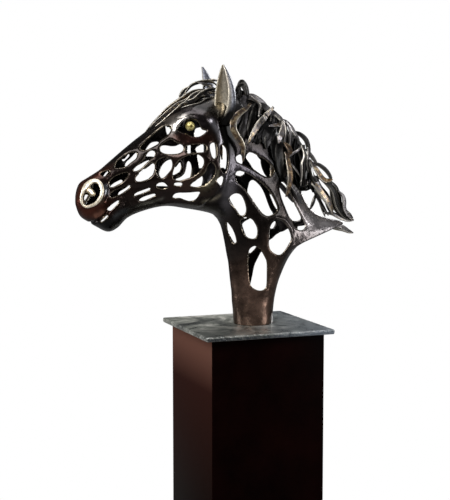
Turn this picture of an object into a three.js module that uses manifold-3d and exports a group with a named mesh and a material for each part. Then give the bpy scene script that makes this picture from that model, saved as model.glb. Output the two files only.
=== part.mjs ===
import * as THREE from 'three';
import { mergeVertices } from 'three/addons/utils/BufferGeometryUtils.js';
import Module from 'manifold-3d';

// A bronze horse's head and neck, cast as an openwork shell, on a square plate and a tall plinth.
// Millimetres, +Z up. The origin is the middle of the plinth's underside, the nose points along -X,
// and the horse's own left side, the near side, faces -Y.

// Plinth and plate
const plinthHeight = 1000;
const plateSide = 420;
const plateThickness = 15;
const plateOverhang = 27.5;
const seatGap = 0.3;

// Casting: the horse's height runs from the plate to the tip of the ears
const horseHeight = 798;
const castingWall = 7;
const strandThickness = 9;
const nostrilRimThickness = 11;
const earWall = 8;
const eyeDiameter = 30;
const eyeClearance = 0.3;
const socketWall = 6;

// The free forms below are measured on a horse 798 high, and follow its real height
const drawnHeight = 798;
const unit = horseHeight / drawnHeight;

// How finely the forms are faceted
const sidesAround = 14;
const sidesInside = 10;
const cornersOfLongOpening = 7;
const cornersOfShortOpening = 6;
const longOpening = 60;
const strandSteps = 5;

const wasm = await Module();
wasm.setup();

// Sections from the muzzle over the poll and down the neck to the foot, in profile: the under
// point, the top point, the half width, and how blunt the section is below and above
const sections = [
  [-545, 388, -545, 390, 1, 0.50, 0.50],
  [-529, 350, -538, 426, 30, 0.45, 0.45],
  [-502, 331, -528, 449, 44, 0.40, 0.42],
  [-478, 316, -506, 463, 53, 0.40, 0.40],
  [-447, 302, -484, 476, 56, 0.42, 0.40],
  [-418, 313, -464, 489, 55, 0.45, 0.40],
  [-384, 343, -436, 512, 50, 0.48, 0.40],
  [-330, 363, -402, 540, 50, 0.50, 0.40],
  [-266, 374, -362, 571, 60, 0.50, 0.40],
  [-200, 365, -318, 602, 78, 0.48, 0.38],
  [-142, 354, -270, 637, 94, 0.46, 0.34],
  [-110, 344, -216, 668, 98, 0.45, 0.34],
  [-98, 334, -153, 695, 92, 0.45, 0.38],
  [-91, 325, -78, 705, 80, 0.46, 0.45],
  [-87, 316, -8, 682, 74, 0.48, 0.52],
  [-82, 304, 52, 640, 72, 0.50, 0.58],
  [-77, 286, 104, 588, 70, 0.50, 0.62],
  [-73, 266, 146, 520, 66, 0.50, 0.66],
  [-69, 245, 172, 446, 62, 0.50, 0.70],
  [-66, 226, 204, 372, 58, 0.50, 0.74],
  [-63, 210, 252, 330, 56, 0.50, 0.76],
  [-60, 194, 336, 306, 56, 0.50, 0.80],
  [-56, 160, 262, 286, 56, 0.50, 0.70],
  [-52, 127, 199, 263, 57, 0.50, 0.60],
  [-48, 98, 148, 217, 58, 0.50, 0.55],
  [-46, 70, 110, 148, 58, 0.50, 0.50],
  [-43, 46, 93, 92, 58, 0.50, 0.50],
  [-41, 24, 86, 44, 59, 0.50, 0.50],
  [-39, 0, 84, 0, 60, 0.50, 0.50],
];
const lastSection = sections.length - 1;

// Swellings of the near and far face: middle in profile, radii, rise
const swellings = [
  [-505, 425, 55, 45, 9],
  [-205, 640, 75, 26, 9],
  [-185, 470, 105, 105, 12],
  [-370, 455, 120, 18, 5],
  [-478, 330, 60, 30, 5],
];

// Openings of the near face, in profile: middle, length, width, tilt in degrees
const noseOpenings = [
  [-459, 482, 21, 7, 38],
  [-402, 516, 82, 32, 36],
  [-313, 581, 116, 27, 34],
];
const faceOpenings = [
  [-330, 534, 37, 18, 14],
  [-352, 500, 72, 18, 40],
  [-346, 479, 75, 35, 45],
  [-292, 491, 66, 39, 58],
  [-273, 553, 75, 38, 2],
  [-198, 550, 63, 21, 1],
];
const jawOpenings = [
  [-223, 491, 101, 76, 38],
  [-145, 545, 45, 16, 97],
  [-108, 523, 72, 18, 92],
  [-121, 452, 28, 20, 48],
  [-194, 450, 43, 25, 36],
  [-157, 478, 75, 28, 60],
  [-294, 443, 34, 12, 4],
  [-248, 443, 25, 9, 0],
  [-218, 404, 86, 24, 2],
];
const lipOpenings = [
  [-336, 403, 56, 14, 16],
  [-351, 420, 49, 14, 23],
  [-419, 423, 72, 18, 30],
  [-424, 457, 66, 27, 28],
  [-442, 383, 45, 12, 40],
  [-474, 350, 28, 11, 45],
];
const neckOpenings = [
  [15, 499, 107, 44, -36],
  [3, 412, 185, 63, 132],
  [-51, 378, 85, 48, 123],
  [-12, 301, 63, 45, 111],
  [-64, 289, 69, 19, 113],
  [90, 270, 111, 71, 79],
  [19, 176, 140, 60, 90],
  [141, 361, 161, 40, 120],
  [-52, 519, 37, 26, 58],
  [-33, 612, 16, 12, 0],
];
const eyeOpening = [-215, 614, 92, 30, -2];
const nostrilOpenings = [
  [-498, 432, 34, 26, 60],
  [-520, 405, 22, 14, 60],
];
const nostrilDepth = 30;

// The far face repeats the near one, but for the jaw's great opening, which has bars across it,
// and the neck's, which are shorter
const farJawOpenings = [
  [-256, 488, 48, 28, 60],
  [-229, 483, 71, 25, 71],
  [-187, 510, 45, 25, 109],
  [-145, 545, 51, 22, 97],
  [-108, 523, 78, 26, 92],
  [-121, 452, 37, 28, 48],
  [-194, 450, 52, 34, 36],
  [-294, 443, 44, 18, 4],
  [-248, 443, 31, 15, 0],
  [-218, 404, 95, 33, 2],
];
const farNeckOpenings = [
  [15, 499, 116, 50, -36],
  [17, 398, 127, 51, 127],
  [65, 386, 54, 16, 117],
  [-51, 378, 85, 51, 123],
  [-12, 301, 72, 55, 111],
  [-64, 289, 76, 26, 113],
  [91, 255, 84, 67, 60],
  [23, 167, 121, 57, 90],
  [133, 370, 109, 46, 120],
  [-52, 519, 43, 32, 58],
];

// The far openings lie further back, so that one looks straight through from the near front
const lookThroughSlope = 0.38;

// The mane grows from a thin web along the crest: its rows in profile, from crest to free edge,
// and the gaps through it
const maneWeb = [
  [[-70, 680], [-60, 712]],
  [[5, 640], [4, 698]],
  [[55, 600], [60, 664]],
  [[95, 550], [113, 614]],
  [[125, 495], [168, 562]],
  [[150, 435], [204, 508]],
  [[175, 390], [236, 456]],
  [[195, 365], [262, 408]],
];
const maneWebThickness = 14;
const maneGaps = [
  [187, 562, 26, 12, 130],
  [226, 497, 36, 14, 120],
  [254, 470, 30, 12, 135],
  [142, 603, 16, 7, 120],
];

// Locks of the mane that hang over the sides of the neck: width, then points in profile
const sideLocks = [
  [20, [0, 684], [-30, 664], [-62, 649], [-82, 619], [-59, 556], [-45, 519], [-50, 505]],
  [22, [71, 664], [48, 649], [7, 627], [-16, 603], [-33, 562]],
  [15, [108, 626], [112, 608], [104, 584], [84, 562]],
  [17, [122, 616], [129, 596], [132, 571], [139, 538]],
  [15, [104, 556], [123, 531], [109, 495], [111, 463], [118, 430], [106, 408]],
  [9, [173, 546], [146, 530], [116, 515]],
  [15, [119, 510], [144, 478], [172, 445], [160, 394]],
  [15, [172, 533], [170, 502], [174, 471], [170, 436]],
];

// Locks that stand on the crest
const crestLocks = [
  [18, [-56, 690], [-40, 728], [-20, 738], [-5, 719], [3, 680]],
  [20, [-16, 680], [12, 702], [38, 694], [61, 674], [72, 650]],
  [18, [50, 650], [88, 640], [126, 622], [139, 600], [128, 575]],
  [16, [115, 622], [139, 612], [154, 600], [171, 577], [194, 556], [201, 540], [185, 520]],
  [17, [150, 575], [172, 588], [191, 576], [205, 552], [205, 508], [219, 460], [233, 425], [215, 400]],
  [15, [165, 520], [208, 528], [226, 518], [240, 497], [274, 463], [262, 430]],
  [10, [195, 500], [226, 487], [257, 453], [284, 440]],
  [22, [185, 424], [213, 434], [237, 430], [258, 409], [282, 365], [290, 335]],
  [16, [235, 470], [257, 456], [285, 440], [308, 409], [311, 379], [322, 356], [360, 318]],
  [13, [290, 425], [317, 406], [332, 386], [332, 356], [350, 318]],
  [15, [262, 440], [284, 430], [299, 396], [300, 364], [315, 340], [343, 318], [372, 312]],
  [11, [230, 436], [240, 424], [259, 390], [279, 346], [282, 325]],
  [16, [300, 300], [321, 295], [343, 283], [360, 276]],
];

// Forelock: locks that arch over the forehead, each with its place across the head
const forelock = [
  { across: -10, width: 15, points: [[-96, 680], [-120, 736], [-153, 747], [-186, 735], [-218, 708],
    [-245, 680], [-288, 618]] },
  { across: -30, width: 14, points: [[-96, 670], [-130, 718], [-156, 724], [-187, 711], [-218, 688],
    [-284, 628], [-312, 585]] },
  { across: 16, width: 14, points: [[-96, 680], [-128, 734], [-160, 738], [-196, 716], [-240, 676],
    [-300, 612], [-332, 575]] },
];

// Ears: foot and tip of the near one, how wide and how deep it is
const earFoot = [-103, -64, 622];
const earTip = [-112, -88, 798];
const earHalfWidth = 44;
const earHalfDepth = 27;

// Nostril rim and eye, in profile
const nostril = { x: -503, z: 423, halfLength: 42, halfWidth: 26, tilt: 62 };
const eye = { x: -212, z: 615 };

// Closed skin over a row of rings that have as many points each, with flat ends or joined round
function skin(rings, joined = false) {
  const sides = rings[0].length;
  const points = rings.flat();
  const faces = [];
  const spans = joined ? rings.length : rings.length - 1;
  for (let i = 0; i < spans; i++) {
    for (let j = 0; j < sides; j++) {
      const a = i * sides + j;
      const b = i * sides + ((j + 1) % sides);
      const c = ((i + 1) % rings.length) * sides + ((j + 1) % sides);
      const d = ((i + 1) % rings.length) * sides + j;
      faces.push(a, b, c, a, c, d);
    }
  }
  if (!joined) {
    const last = (rings.length - 1) * sides;
    for (let j = 1; j < sides - 1; j++) {
      faces.push(0, j + 1, j, last, last + j, last + j + 1);
    }
  }
  const geometry = new THREE.BufferGeometry();
  geometry.setAttribute('position', new THREE.Float32BufferAttribute(points.flat(), 3));
  geometry.setIndex(faces);
  return solid(geometry);
}

// A closed geometry as a solid, with its faces out
function solid(geometry) {
  geometry.deleteAttribute('normal');
  geometry.deleteAttribute('uv');
  const merged = mergeVertices(geometry, 1e-4);
  const vertProperties = Float32Array.from(merged.attributes.position.array);
  const triVerts = Uint32Array.from(merged.index.array);
  let sixVolumes = 0;
  const corner = (k) => new THREE.Vector3().fromArray(vertProperties, 3 * triVerts[k]);
  for (let k = 0; k < triVerts.length; k += 3) {
    sixVolumes += corner(k).dot(corner(k + 1).cross(corner(k + 2)));
  }
  if (sixVolumes < 0) triVerts.reverse();
  return new wasm.Manifold(new wasm.Mesh({ numProp: 3, vertProperties, triVerts }));
}

// A point of the outer skin at a place along the sections and an angle round the section, from 0
// below over the near side to half a turn on top; a wall insets it
function skinPoint(place, angle, wall = 0) {
  const at = Math.min(Math.max(place, 0), lastSection);
  const i = Math.min(Math.floor(at), lastSection - 1);
  const t = at - i;
  const [p, q, r, s] = [i - 1, i, i + 1, i + 2].map((k) => sections[Math.min(Math.max(k, 0), lastSection)]);
  const value = q.map((_, k) => q[k] + 0.5 * t * (r[k] - p[k] + t * (2 * p[k] - 5 * q[k] + 4 * r[k] - s[k]
    + t * (3 * (q[k] - r[k]) + s[k] - p[k]))));
  let [underX, underZ, topX, topZ, half, below, above] = value;
  const height = Math.hypot(topX - underX, topZ - underZ);
  const inset = wall / unit;
  const insetTop = inset * (0.5 + 2 * above);
  [underX, underZ, topX, topZ] = [
    underX + (topX - underX) * inset / height,
    underZ + (topZ - underZ) * inset / height,
    topX - (topX - underX) * insetTop / height,
    topZ - (topZ - underZ) * insetTop / height,
  ];
  const rise = Math.abs(Math.sin(angle / 2));
  const fall = Math.abs(Math.cos(angle / 2));
  const peak = (below / (below + above)) ** below * (above / (below + above)) ** above;
  const x = underX + rise ** 2 * (topX - underX);
  const z = underZ + rise ** 2 * (topZ - underZ);
  const full = rise ** (2 * below) * fall ** (2 * above) / peak;
  const width = (half - inset + swelling(x, z)) * full;
  return [x * unit, (Math.sin(angle) >= 0 ? -width : width) * unit, z * unit];
}

// How far the face swells at a place in profile
function swelling(x, z) {
  return swellings.reduce((sum, [midX, midZ, radiusX, radiusZ, rise]) => {
    const distance = Math.hypot((x - midX) / radiusX, (z - midZ) / radiusZ);
    return sum + rise * Math.exp(-2 * distance ** 4);
  }, 0);
}

// Half width of the horse at a place in profile, from the nearest point of its near face
const nearFace = [];
for (let place = 0; place <= lastSection; place += 0.1) {
  for (let k = 1; k < 60; k++) nearFace.push(skinPoint(place, Math.PI * k / 60));
}
function halfWidthAt(x, z) {
  let best = nearFace[0];
  let least = Infinity;
  for (const point of nearFace) {
    const distance = (point[0] - x) ** 2 + (point[2] - z) ** 2;
    if (distance < least) [least, best] = [distance, point];
  }
  return Math.abs(best[1]);
}

function skinRings(places, sides, wall) {
  return places.map((place) => (
    Array.from({ length: sides }, (_, j) => skinPoint(place, 2 * Math.PI * j / sides, wall))
  ));
}

// The cast shell, open at its foot
function shell() {
  const muzzleTip = 0.25;
  const hollowFrom = 1.75;
  const hollowStep = 2.5;
  const outerPlaces = [muzzleTip];
  for (let place = 1; place <= lastSection; place++) outerPlaces.push(place);
  const innerPlaces = [];
  for (let place = hollowFrom; place < lastSection; place += hollowStep) innerPlaces.push(place);
  const outer = skinRings(outerPlaces, sidesAround, 0);
  const inner = skinRings([...innerPlaces, lastSection], sidesInside, castingWall);
  const below = inner.at(-1).map(([x, y]) => [x, y, -castingWall]);
  return skin(outer).subtract(skin([...inner, below]));
}

// The web that the mane grows from, thinner towards its free edge
function web() {
  const half = maneWebThickness / 2;
  return skin(maneWeb.map(([[x, z], [edgeX, edgeZ]]) => [
    [x * unit, -half, z * unit],
    [edgeX * unit, -half / 2, edgeZ * unit],
    [edgeX * unit, half / 2, edgeZ * unit],
    [x * unit, half, z * unit],
  ]));
}

// An opening through one face: a rounded outline carried straight across, from just past the
// middle plane or from a stated depth beside it
function openingThrough([x, z, length, width, tilt], side, from = -1) {
  const turn = tilt * Math.PI / 180;
  const reach = 200 * unit;
  const blunt = 0.8;
  const corners = length > longOpening ? cornersOfLongOpening : cornersOfShortOpening;
  const outline = Array.from({ length: corners }, (_, k) => {
    const angle = 2 * Math.PI * (k + 0.5) / corners;
    const u = Math.sign(Math.cos(angle)) * Math.abs(Math.cos(angle)) ** blunt * length / 2;
    const v = Math.sign(Math.sin(angle)) * Math.abs(Math.sin(angle)) ** blunt * width / 2;
    return [x + u * Math.cos(turn) - v * Math.sin(turn), z + u * Math.sin(turn) + v * Math.cos(turn)];
  });
  const ringAt = (y) => outline.map(([px, pz]) => [px * unit, y, pz * unit]);
  return skin([ringAt(side * from), ringAt(side * reach)]);
}

// An opening moved back to where one looks through it from the near front
function movedBack([x, z, ...rest]) {
  return [x + 2 * halfWidthAt(x * unit, z * unit) / unit * lookThroughSlope, z, ...rest];
}

// A flat strand swept along a curve, its ends drawn in
function strand(points, width, thickness) {
  const curve = new THREE.CatmullRomCurve3(points.map((p) => new THREE.Vector3(...p)));
  const rings = [];
  for (let i = 0; i <= strandSteps; i++) {
    const t = i / strandSteps;
    const middle = curve.getPoint(t);
    const along = curve.getTangent(t);
    const across = new THREE.Vector3(0, 1, 0).cross(along).normalize();
    const out = along.clone().cross(across).normalize();
    const size = 0.45 + 0.55 * Math.sin(Math.PI * (0.12 + 0.76 * t));
    rings.push([[-1, 0], [0, -1], [1, 0], [0, 1]].map(([u, v]) => middle.clone()
      .addScaledVector(across, u * size * width / 2)
      .addScaledVector(out, v * size * thickness / 2).toArray()));
  }
  return skin(rings);
}

function sideLock([width, ...points], side) {
  const lift = 0.2 * strandThickness;
  const placed = points.map(([x, z]) => {
    const half = halfWidthAt(x * unit, z * unit);
    return [x * unit, side * (half + lift), z * unit];
  });
  return strand(placed, width * unit, strandThickness);
}

function crestLock([width, ...points], index) {
  const sway = (index % 3 - 1) * 0.5 * strandThickness;
  return strand(points.map(([x, z]) => [x * unit, sway, z * unit]), width * unit, strandThickness);
}

// One ear: a leaf, hollowed from the front
function ear(side) {
  const foot = new THREE.Vector3(earFoot[0], -side * earFoot[1], earFoot[2]);
  const tip = new THREE.Vector3(earTip[0], -side * earTip[1], earTip[2]);
  const facing = new THREE.Vector3(-0.8, side * 0.6, 0).normalize();
  const across = new THREE.Vector3(0, 0, 1).cross(facing);
  const leaf = (from, to, halfWidth, halfDepth, forward) => {
    const rings = [];
    for (let i = 0; i <= 5; i++) {
      const t = from + (to - from) * i / 5;
      const spread = Math.max(Math.sin(Math.PI * (0.17 + 0.83 * t)), 0.05);
      const middle = foot.clone().lerp(tip, t).addScaledVector(facing, forward);
      rings.push(Array.from({ length: 6 }, (_, k) => middle.clone()
        .addScaledVector(across, halfWidth * spread * Math.cos(Math.PI * k / 3))
        .addScaledVector(facing, halfDepth * spread * Math.sin(Math.PI * k / 3))
        .multiplyScalar(unit).toArray()));
    }
    return skin(rings);
  };
  const wall = earWall / unit;
  const hollow = leaf(0.3, 0.93, earHalfWidth - wall, earHalfDepth, 1.6 * wall);
  return leaf(0, 1, earHalfWidth, earHalfDepth, 0).subtract(hollow);
}

// A raised rim round the nostril, lying on the face
function nostrilRim(side) {
  const turn = nostril.tilt * Math.PI / 180;
  const steps = 8;
  const onFace = (angle) => {
    const u = nostril.halfLength * Math.cos(angle);
    const v = nostril.halfWidth * Math.sin(angle);
    const x = (nostril.x + u * Math.cos(turn) - v * Math.sin(turn)) * unit;
    const z = (nostril.z + u * Math.sin(turn) + v * Math.cos(turn)) * unit;
    return new THREE.Vector3(x, side * halfWidthAt(x, z), z);
  };
  const rings = Array.from({ length: steps }, (_, i) => {
    const angle = 2 * Math.PI * i / steps;
    const middle = onFace(angle);
    const along = onFace(angle + 0.1).sub(onFace(angle - 0.1)).normalize();
    const across = new THREE.Vector3(0, 1, 0).cross(along).normalize();
    const out = along.clone().cross(across);
    return Array.from({ length: 4 }, (_, k) => middle.clone()
      .addScaledVector(across, Math.cos(Math.PI * k / 2) * nostrilRimThickness / 2)
      .addScaledVector(out, Math.sin(Math.PI * k / 2) * nostrilRimThickness / 2).toArray());
  });
  return skin(rings, true);
}

// A ball at an eye's place, set into the face, and a cup that holds it from behind
const eyeHalfSpread = halfWidthAt(eye.x * unit, eye.z * unit) - 0.25 * eyeDiameter;
function eyeBall(side, diameter, sunk = 0) {
  const ball = new THREE.SphereGeometry(diameter / 2, 10, 6);
  ball.translate(eye.x * unit, side * (eyeHalfSpread - sunk), eye.z * unit);
  return solid(ball);
}

// The whole casting
function horse() {
  let body = shell().add(web());
  const near = [...noseOpenings, ...faceOpenings, ...jawOpenings, ...lipOpenings, ...neckOpenings];
  const far = [...noseOpenings, ...faceOpenings, ...farJawOpenings, ...lipOpenings, ...farNeckOpenings];
  for (const opening of near) body = body.subtract(openingThrough(opening, -1));
  for (const opening of far.map(movedBack)) body = body.subtract(openingThrough(opening, 1));
  for (const side of [-1, 1]) {
    for (const opening of [eyeOpening, ...maneGaps]) body = body.subtract(openingThrough(opening, side));
    for (const opening of nostrilOpenings) {
      const spread = halfWidthAt(opening[0] * unit, opening[1] * unit);
      body = body.subtract(openingThrough(opening, side, Math.max(spread - nostrilDepth, castingWall)));
    }
    const locks = side < 0 ? sideLocks : sideLocks.filter((_, index) => index % 3 !== 2);
    for (const lock of locks) body = body.add(sideLock(lock, side));
    body = body.add(ear(side));
    body = body.add(nostrilRim(side));
    body = body.add(eyeBall(side, eyeDiameter + 2 * eyeClearance + 2 * socketWall, eyeDiameter / 3));
  }
  crestLocks.forEach((lock, index) => {
    body = body.add(crestLock(lock, index));
  });
  for (const { across, width, points } of forelock) {
    body = body.add(strand(points.map(([x, z]) => [x * unit, across * unit, z * unit]), width * unit, strandThickness));
  }
  for (const side of [-1, 1]) {
    body = body.subtract(eyeBall(side, eyeDiameter + 2 * eyeClearance));
  }
  return body;
}

function meshOf(body, name, material) {
  const { vertProperties, triVerts } = body.getMesh();
  const geometry = new THREE.BufferGeometry();
  geometry.setAttribute('position', new THREE.BufferAttribute(Float32Array.from(vertProperties), 3));
  geometry.setIndex(new THREE.BufferAttribute(Uint32Array.from(triVerts), 1));
  const mesh = new THREE.Mesh(geometry, material);
  mesh.name = name;
  return mesh;
}

const bronze = new THREE.MeshStandardMaterial({ color: 0x2e231c, metalness: 0.9, roughness: 0.35 });
const brass = new THREE.MeshStandardMaterial({ color: 0xb98f3c, metalness: 1, roughness: 0.25 });
const plateMetal = new THREE.MeshStandardMaterial({ color: 0x5c6156, metalness: 0.6, roughness: 0.55 });
const plinthPaint = new THREE.MeshStandardMaterial({ color: 0x1d100b, metalness: 0.1, roughness: 0.45 });

// Plinth and plate
const plinthSide = plateSide - 2 * plateOverhang;
const plinth = new THREE.Mesh(new THREE.BoxGeometry(plinthSide, plinthSide, plinthHeight), plinthPaint);
plinth.name = 'plinth';
plinth.position.z = plinthHeight / 2;

const plate = new THREE.Mesh(new THREE.BoxGeometry(plateSide, plateSide, plateThickness), plateMetal);
plate.name = 'base_plate';
plate.position.z = plinthHeight + seatGap + plateThickness / 2;

// The horse and its eyes share one group that stands on the plate
const figure = new THREE.Group();
figure.position.z = plinthHeight + seatGap + plateThickness + seatGap;
figure.add(meshOf(horse(), 'horse', bronze));
figure.add(meshOf(eyeBall(-1, eyeDiameter), 'left_eye', brass));
figure.add(meshOf(eyeBall(1, eyeDiameter), 'right_eye', brass.clone()));

const sculpture = new THREE.Group();
sculpture.add(plinth, plate, figure);

export default sculpture;
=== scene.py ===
import math

import bpy
import numpy as np
from mathutils import Matrix, Vector


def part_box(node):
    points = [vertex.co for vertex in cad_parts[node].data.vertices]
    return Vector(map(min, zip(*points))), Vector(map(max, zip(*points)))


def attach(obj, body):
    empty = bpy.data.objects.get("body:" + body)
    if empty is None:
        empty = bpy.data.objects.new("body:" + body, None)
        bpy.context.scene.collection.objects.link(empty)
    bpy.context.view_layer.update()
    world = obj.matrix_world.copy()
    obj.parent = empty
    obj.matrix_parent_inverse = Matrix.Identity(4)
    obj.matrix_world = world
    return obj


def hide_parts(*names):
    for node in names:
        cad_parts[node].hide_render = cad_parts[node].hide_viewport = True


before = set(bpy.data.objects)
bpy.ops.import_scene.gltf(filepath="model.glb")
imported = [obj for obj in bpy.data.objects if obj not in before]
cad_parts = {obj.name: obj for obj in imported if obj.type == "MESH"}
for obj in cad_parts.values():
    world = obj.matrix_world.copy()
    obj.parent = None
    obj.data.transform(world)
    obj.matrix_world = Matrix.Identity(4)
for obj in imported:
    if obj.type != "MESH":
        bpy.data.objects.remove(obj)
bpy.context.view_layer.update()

# Camera: a long lens at eye level, some four metres from the plate, looking along the horse's
# near side from a little in front of it.
picture_width, picture_height = 450, 500
camera_place = Vector((-1.505, -3.732, 1.663))
camera_yaw = math.radians(21.01)
camera_pitch = math.radians(5.92)
camera_lens = 93.6
camera_sensor = 36

camera = bpy.data.objects.new("camera", bpy.data.cameras.new("camera"))
bpy.context.scene.collection.objects.link(camera)
camera.data.lens = camera_lens
camera.data.sensor_width = camera_sensor
camera.data.clip_end = 100
forward = Vector((math.sin(camera_yaw) * math.cos(camera_pitch),
                  math.cos(camera_yaw) * math.cos(camera_pitch),
                  -math.sin(camera_pitch)))
rightward = Vector((math.cos(camera_yaw), -math.sin(camera_yaw), 0))
upward = rightward.cross(forward)
camera.matrix_world = Matrix.LocRotScale(
    camera_place, Matrix((rightward, upward, -forward)).transposed(), None)
bpy.context.scene.camera = camera
bpy.context.scene.view_settings.view_transform = "Standard"


# Studio: a pale floor that rises into a backdrop. Two soft windows stand on the left, two strips
# on the right, one in front of the work and one behind it, draw its edges, and a weak light
# hangs above.
floor_half_width, floor_half_depth = 14, 9
backdrop_lean, backdrop_height = 1.5, 12
room_glow = 0.12
head_middle = (-0.15, 0, 1.45)


def linear(hex_colour):
    """An sRGB colour as linear red, green, blue and alpha."""
    channels = [int(hex_colour[i:i + 2], 16) / 255 for i in (1, 3, 5)]
    return [c / 12.92 if c <= 0.04045 else ((c + 0.055) / 1.055) ** 2.4 for c in channels] + [1]


def node(tree, kind, settings=None, links=None):
    """Adds a node. Settings name its properties, its inputs or the stops of its colour ramp, and
    links feed its inputs from other nodes' outputs."""
    new = tree.nodes.new(kind)
    for key, value in (settings or {}).items():
        if key == "stops":
            for position, _ in value[2:]:
                new.color_ramp.elements.new(position)
            for stop, (position, colour) in zip(new.color_ramp.elements, value):
                stop.position, stop.color = position, linear(colour)
        elif isinstance(key, str) and hasattr(new, key):
            setattr(new, key, value)
        else:
            new.inputs[key].default_value = value
    for key, output in (links or {}).items():
        tree.links.new(output, new.inputs[key])
    return new


def finish_of(name):
    """A new material and its empty node tree."""
    material = bpy.data.materials.new(name)
    material.use_nodes = True
    material.node_tree.nodes.clear()
    return material, material.node_tree


bpy.ops.object.select_all(action="DESELECT")
bpy.ops.mesh.primitive_plane_add(size=2, location=(0, 0, 0))
backdrop = bpy.context.object
backdrop.name = "backdrop"
backdrop.scale = (floor_half_width, floor_half_depth, 1)
bpy.ops.object.transform_apply(scale=True)
bpy.ops.object.mode_set(mode="EDIT")
bpy.ops.mesh.select_all(action="DESELECT")
bpy.ops.object.mode_set(mode="OBJECT")
for edge in backdrop.data.edges:
    edge.select = all(backdrop.data.vertices[v].co.y > 0 for v in edge.vertices)
bpy.ops.object.mode_set(mode="EDIT")
bpy.ops.mesh.select_mode(type="EDGE")
bpy.ops.mesh.extrude_region_move(
    TRANSFORM_OT_translate={"value": (0, backdrop_lean, backdrop_height)})
bpy.ops.object.mode_set(mode="OBJECT")

# Matt paint: mid grey to the light that falls on it, and plain white to the eye
backdrop_paint, tree = finish_of("backdrop_paint")
paint = node(tree, "ShaderNodeBsdfDiffuse", {"Color": linear("#9c9c9c")})
glow = node(tree, "ShaderNodeEmission", {"Color": linear("#ffffff"), "Strength": 1})
seen = node(tree, "ShaderNodeLightPath")
lit = node(tree, "ShaderNodeMixShader", links={0: seen.outputs["Is Camera Ray"],
                                               1: paint.outputs[0], 2: glow.outputs[0]})
node(tree, "ShaderNodeOutputMaterial", links={"Surface": lit.outputs[0]})
backdrop.data.materials.append(backdrop_paint)


def lamp(name, place, target, size, watts):
    light = bpy.data.objects.new(name, bpy.data.lights.new(name, "AREA"))
    bpy.context.scene.collection.objects.link(light)
    light.data.shape = "RECTANGLE"
    light.data.size, light.data.size_y = size
    light.data.energy = watts
    aim = (Vector(target) - Vector(place)).to_track_quat("-Z", "Y")
    light.matrix_world = Matrix.LocRotScale(Vector(place), aim, None)


lamp("window_left", (-2.0, -2.1, 3.3), head_middle, (1.5, 1.9), 105)
lamp("window_far_left", (-3.0, 0.9, 1.7), (-0.35, 0, 1.25), (0.7, 1.6), 42)
lamp("strip_right", (2.5, -2.3, 1.95), (0.05, 0, 1.35), (0.6, 2.4), 40)
lamp("top", (0, 0.4, 4.2), head_middle, (2.2, 1.6), 42)
lamp("strip_behind_right", (2.6, 1.9, 2.0), head_middle, (1.0, 2.2), 60)

world = bpy.data.worlds.new("studio")
bpy.context.scene.world = world
world.use_nodes = True
tree = world.node_tree
tree.nodes.clear()
walls = node(tree, "ShaderNodeBackground", {"Color": linear("#ffffff"), "Strength": room_glow})
white = node(tree, "ShaderNodeBackground", {"Color": linear("#ffffff"), "Strength": 1})
seen = node(tree, "ShaderNodeLightPath")
sky = node(tree, "ShaderNodeMixShader", links={0: seen.outputs["Is Camera Ray"],
                                               1: walls.outputs[0], 2: white.outputs[0]})
node(tree, "ShaderNodeOutputWorld", links={"Surface": sky.outputs[0]})


# Plinth: a tall square box of folded sheet, sprayed dark brown, with softened edges. Its left
# side carries painted light from the window there: a red brown, palest at its top.
plinth_low, plinth_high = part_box("plinth")
plinth_edge = 0.002
face_slack = 0.0001


def softened_box(name, low, high, edge, narrower=0):
    """A box between two corners, with rounded edges and its sides drawn in."""
    bpy.ops.object.select_all(action="DESELECT")
    bpy.ops.mesh.primitive_cube_add(size=1, location=(low + high) / 2)
    box = bpy.context.object
    box.name = name
    box.scale = high - low - Vector((2, 2, 0)) * narrower
    bpy.ops.object.transform_apply(location=True, scale=True)
    bpy.ops.object.mode_set(mode="EDIT")
    bpy.ops.mesh.select_all(action="SELECT")
    bpy.ops.mesh.bevel(offset=edge, segments=3, affect="EDGES")
    bpy.ops.object.mode_set(mode="OBJECT")
    return box


def spots_of(piece):
    """Where a piece's vertices are."""
    return np.array([v.co for v in piece.data.vertices])


def keep_values(mesh, **values):
    """Keeps a number or a colour for each vertex, under the name by which a finish reads it."""
    for name, value in values.items():
        kind, field = ("FLOAT_COLOR", "color") if np.ndim(value) == 2 else ("FLOAT", "value")
        mesh.attributes.new(name, kind, "POINT").data.foreach_set(field, np.ravel(value))


plinth = softened_box("plinth_box", plinth_low, plinth_high, plinth_edge)
bpy.ops.object.shade_smooth_by_angle(angle=math.radians(40))
spots = spots_of(plinth)
height = (spots[:, 2] - plinth_low.z) / (plinth_high.z - plinth_low.z)
# Painted light: the left face's height sets how much lit red brown it gets
keep_values(plinth.data, faded=np.where(spots[:, 0] < plinth_low.x + face_slack, height, 0.0))

# Satin lacquer over sheet: almost black brown, hardly any gloss, with clouds a hand wide, and on
# the left side painted light: a warmer, paler brown, strongest at its top
plinth_lacquer, tree = finish_of("brown_satin_lacquer")
place = node(tree, "ShaderNodeTexCoord")
painted_side_light_node = node(tree, "ShaderNodeAttribute", {"attribute_name": "faded"})
cloud = node(tree, "ShaderNodeTexNoise", {"Scale": 5, "Detail": 5, "Roughness": 0.6},
             {"Vector": place.outputs["Object"]})
tone = node(tree, "ShaderNodeValToRGB", {"stops": [(0.35, "#050101"), (0.75, "#120403")]},
            {"Fac": cloud.outputs["Fac"]})
lit_side_tone = node(tree, "ShaderNodeValToRGB",
                 {"stops": [(0.45, "#0c0503"), (0.84, "#2a1612"), (1, "#69483d")]},
                 {"Fac": painted_side_light_node.outputs["Fac"]})
is_side = node(tree, "ShaderNodeMapRange", {"From Max": 0.03},
               {"Value": painted_side_light_node.outputs["Fac"]})
sided = node(tree, "ShaderNodeMix", {"data_type": "RGBA"},
             {0: is_side.outputs["Result"], 6: tone.outputs["Color"],
              7: lit_side_tone.outputs["Color"]})
lacquer = node(tree, "ShaderNodeBsdfPrincipled", {"Roughness": 0.4, "Specular IOR Level": 0.012},
               {"Base Color": sided.outputs[2]})
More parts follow.
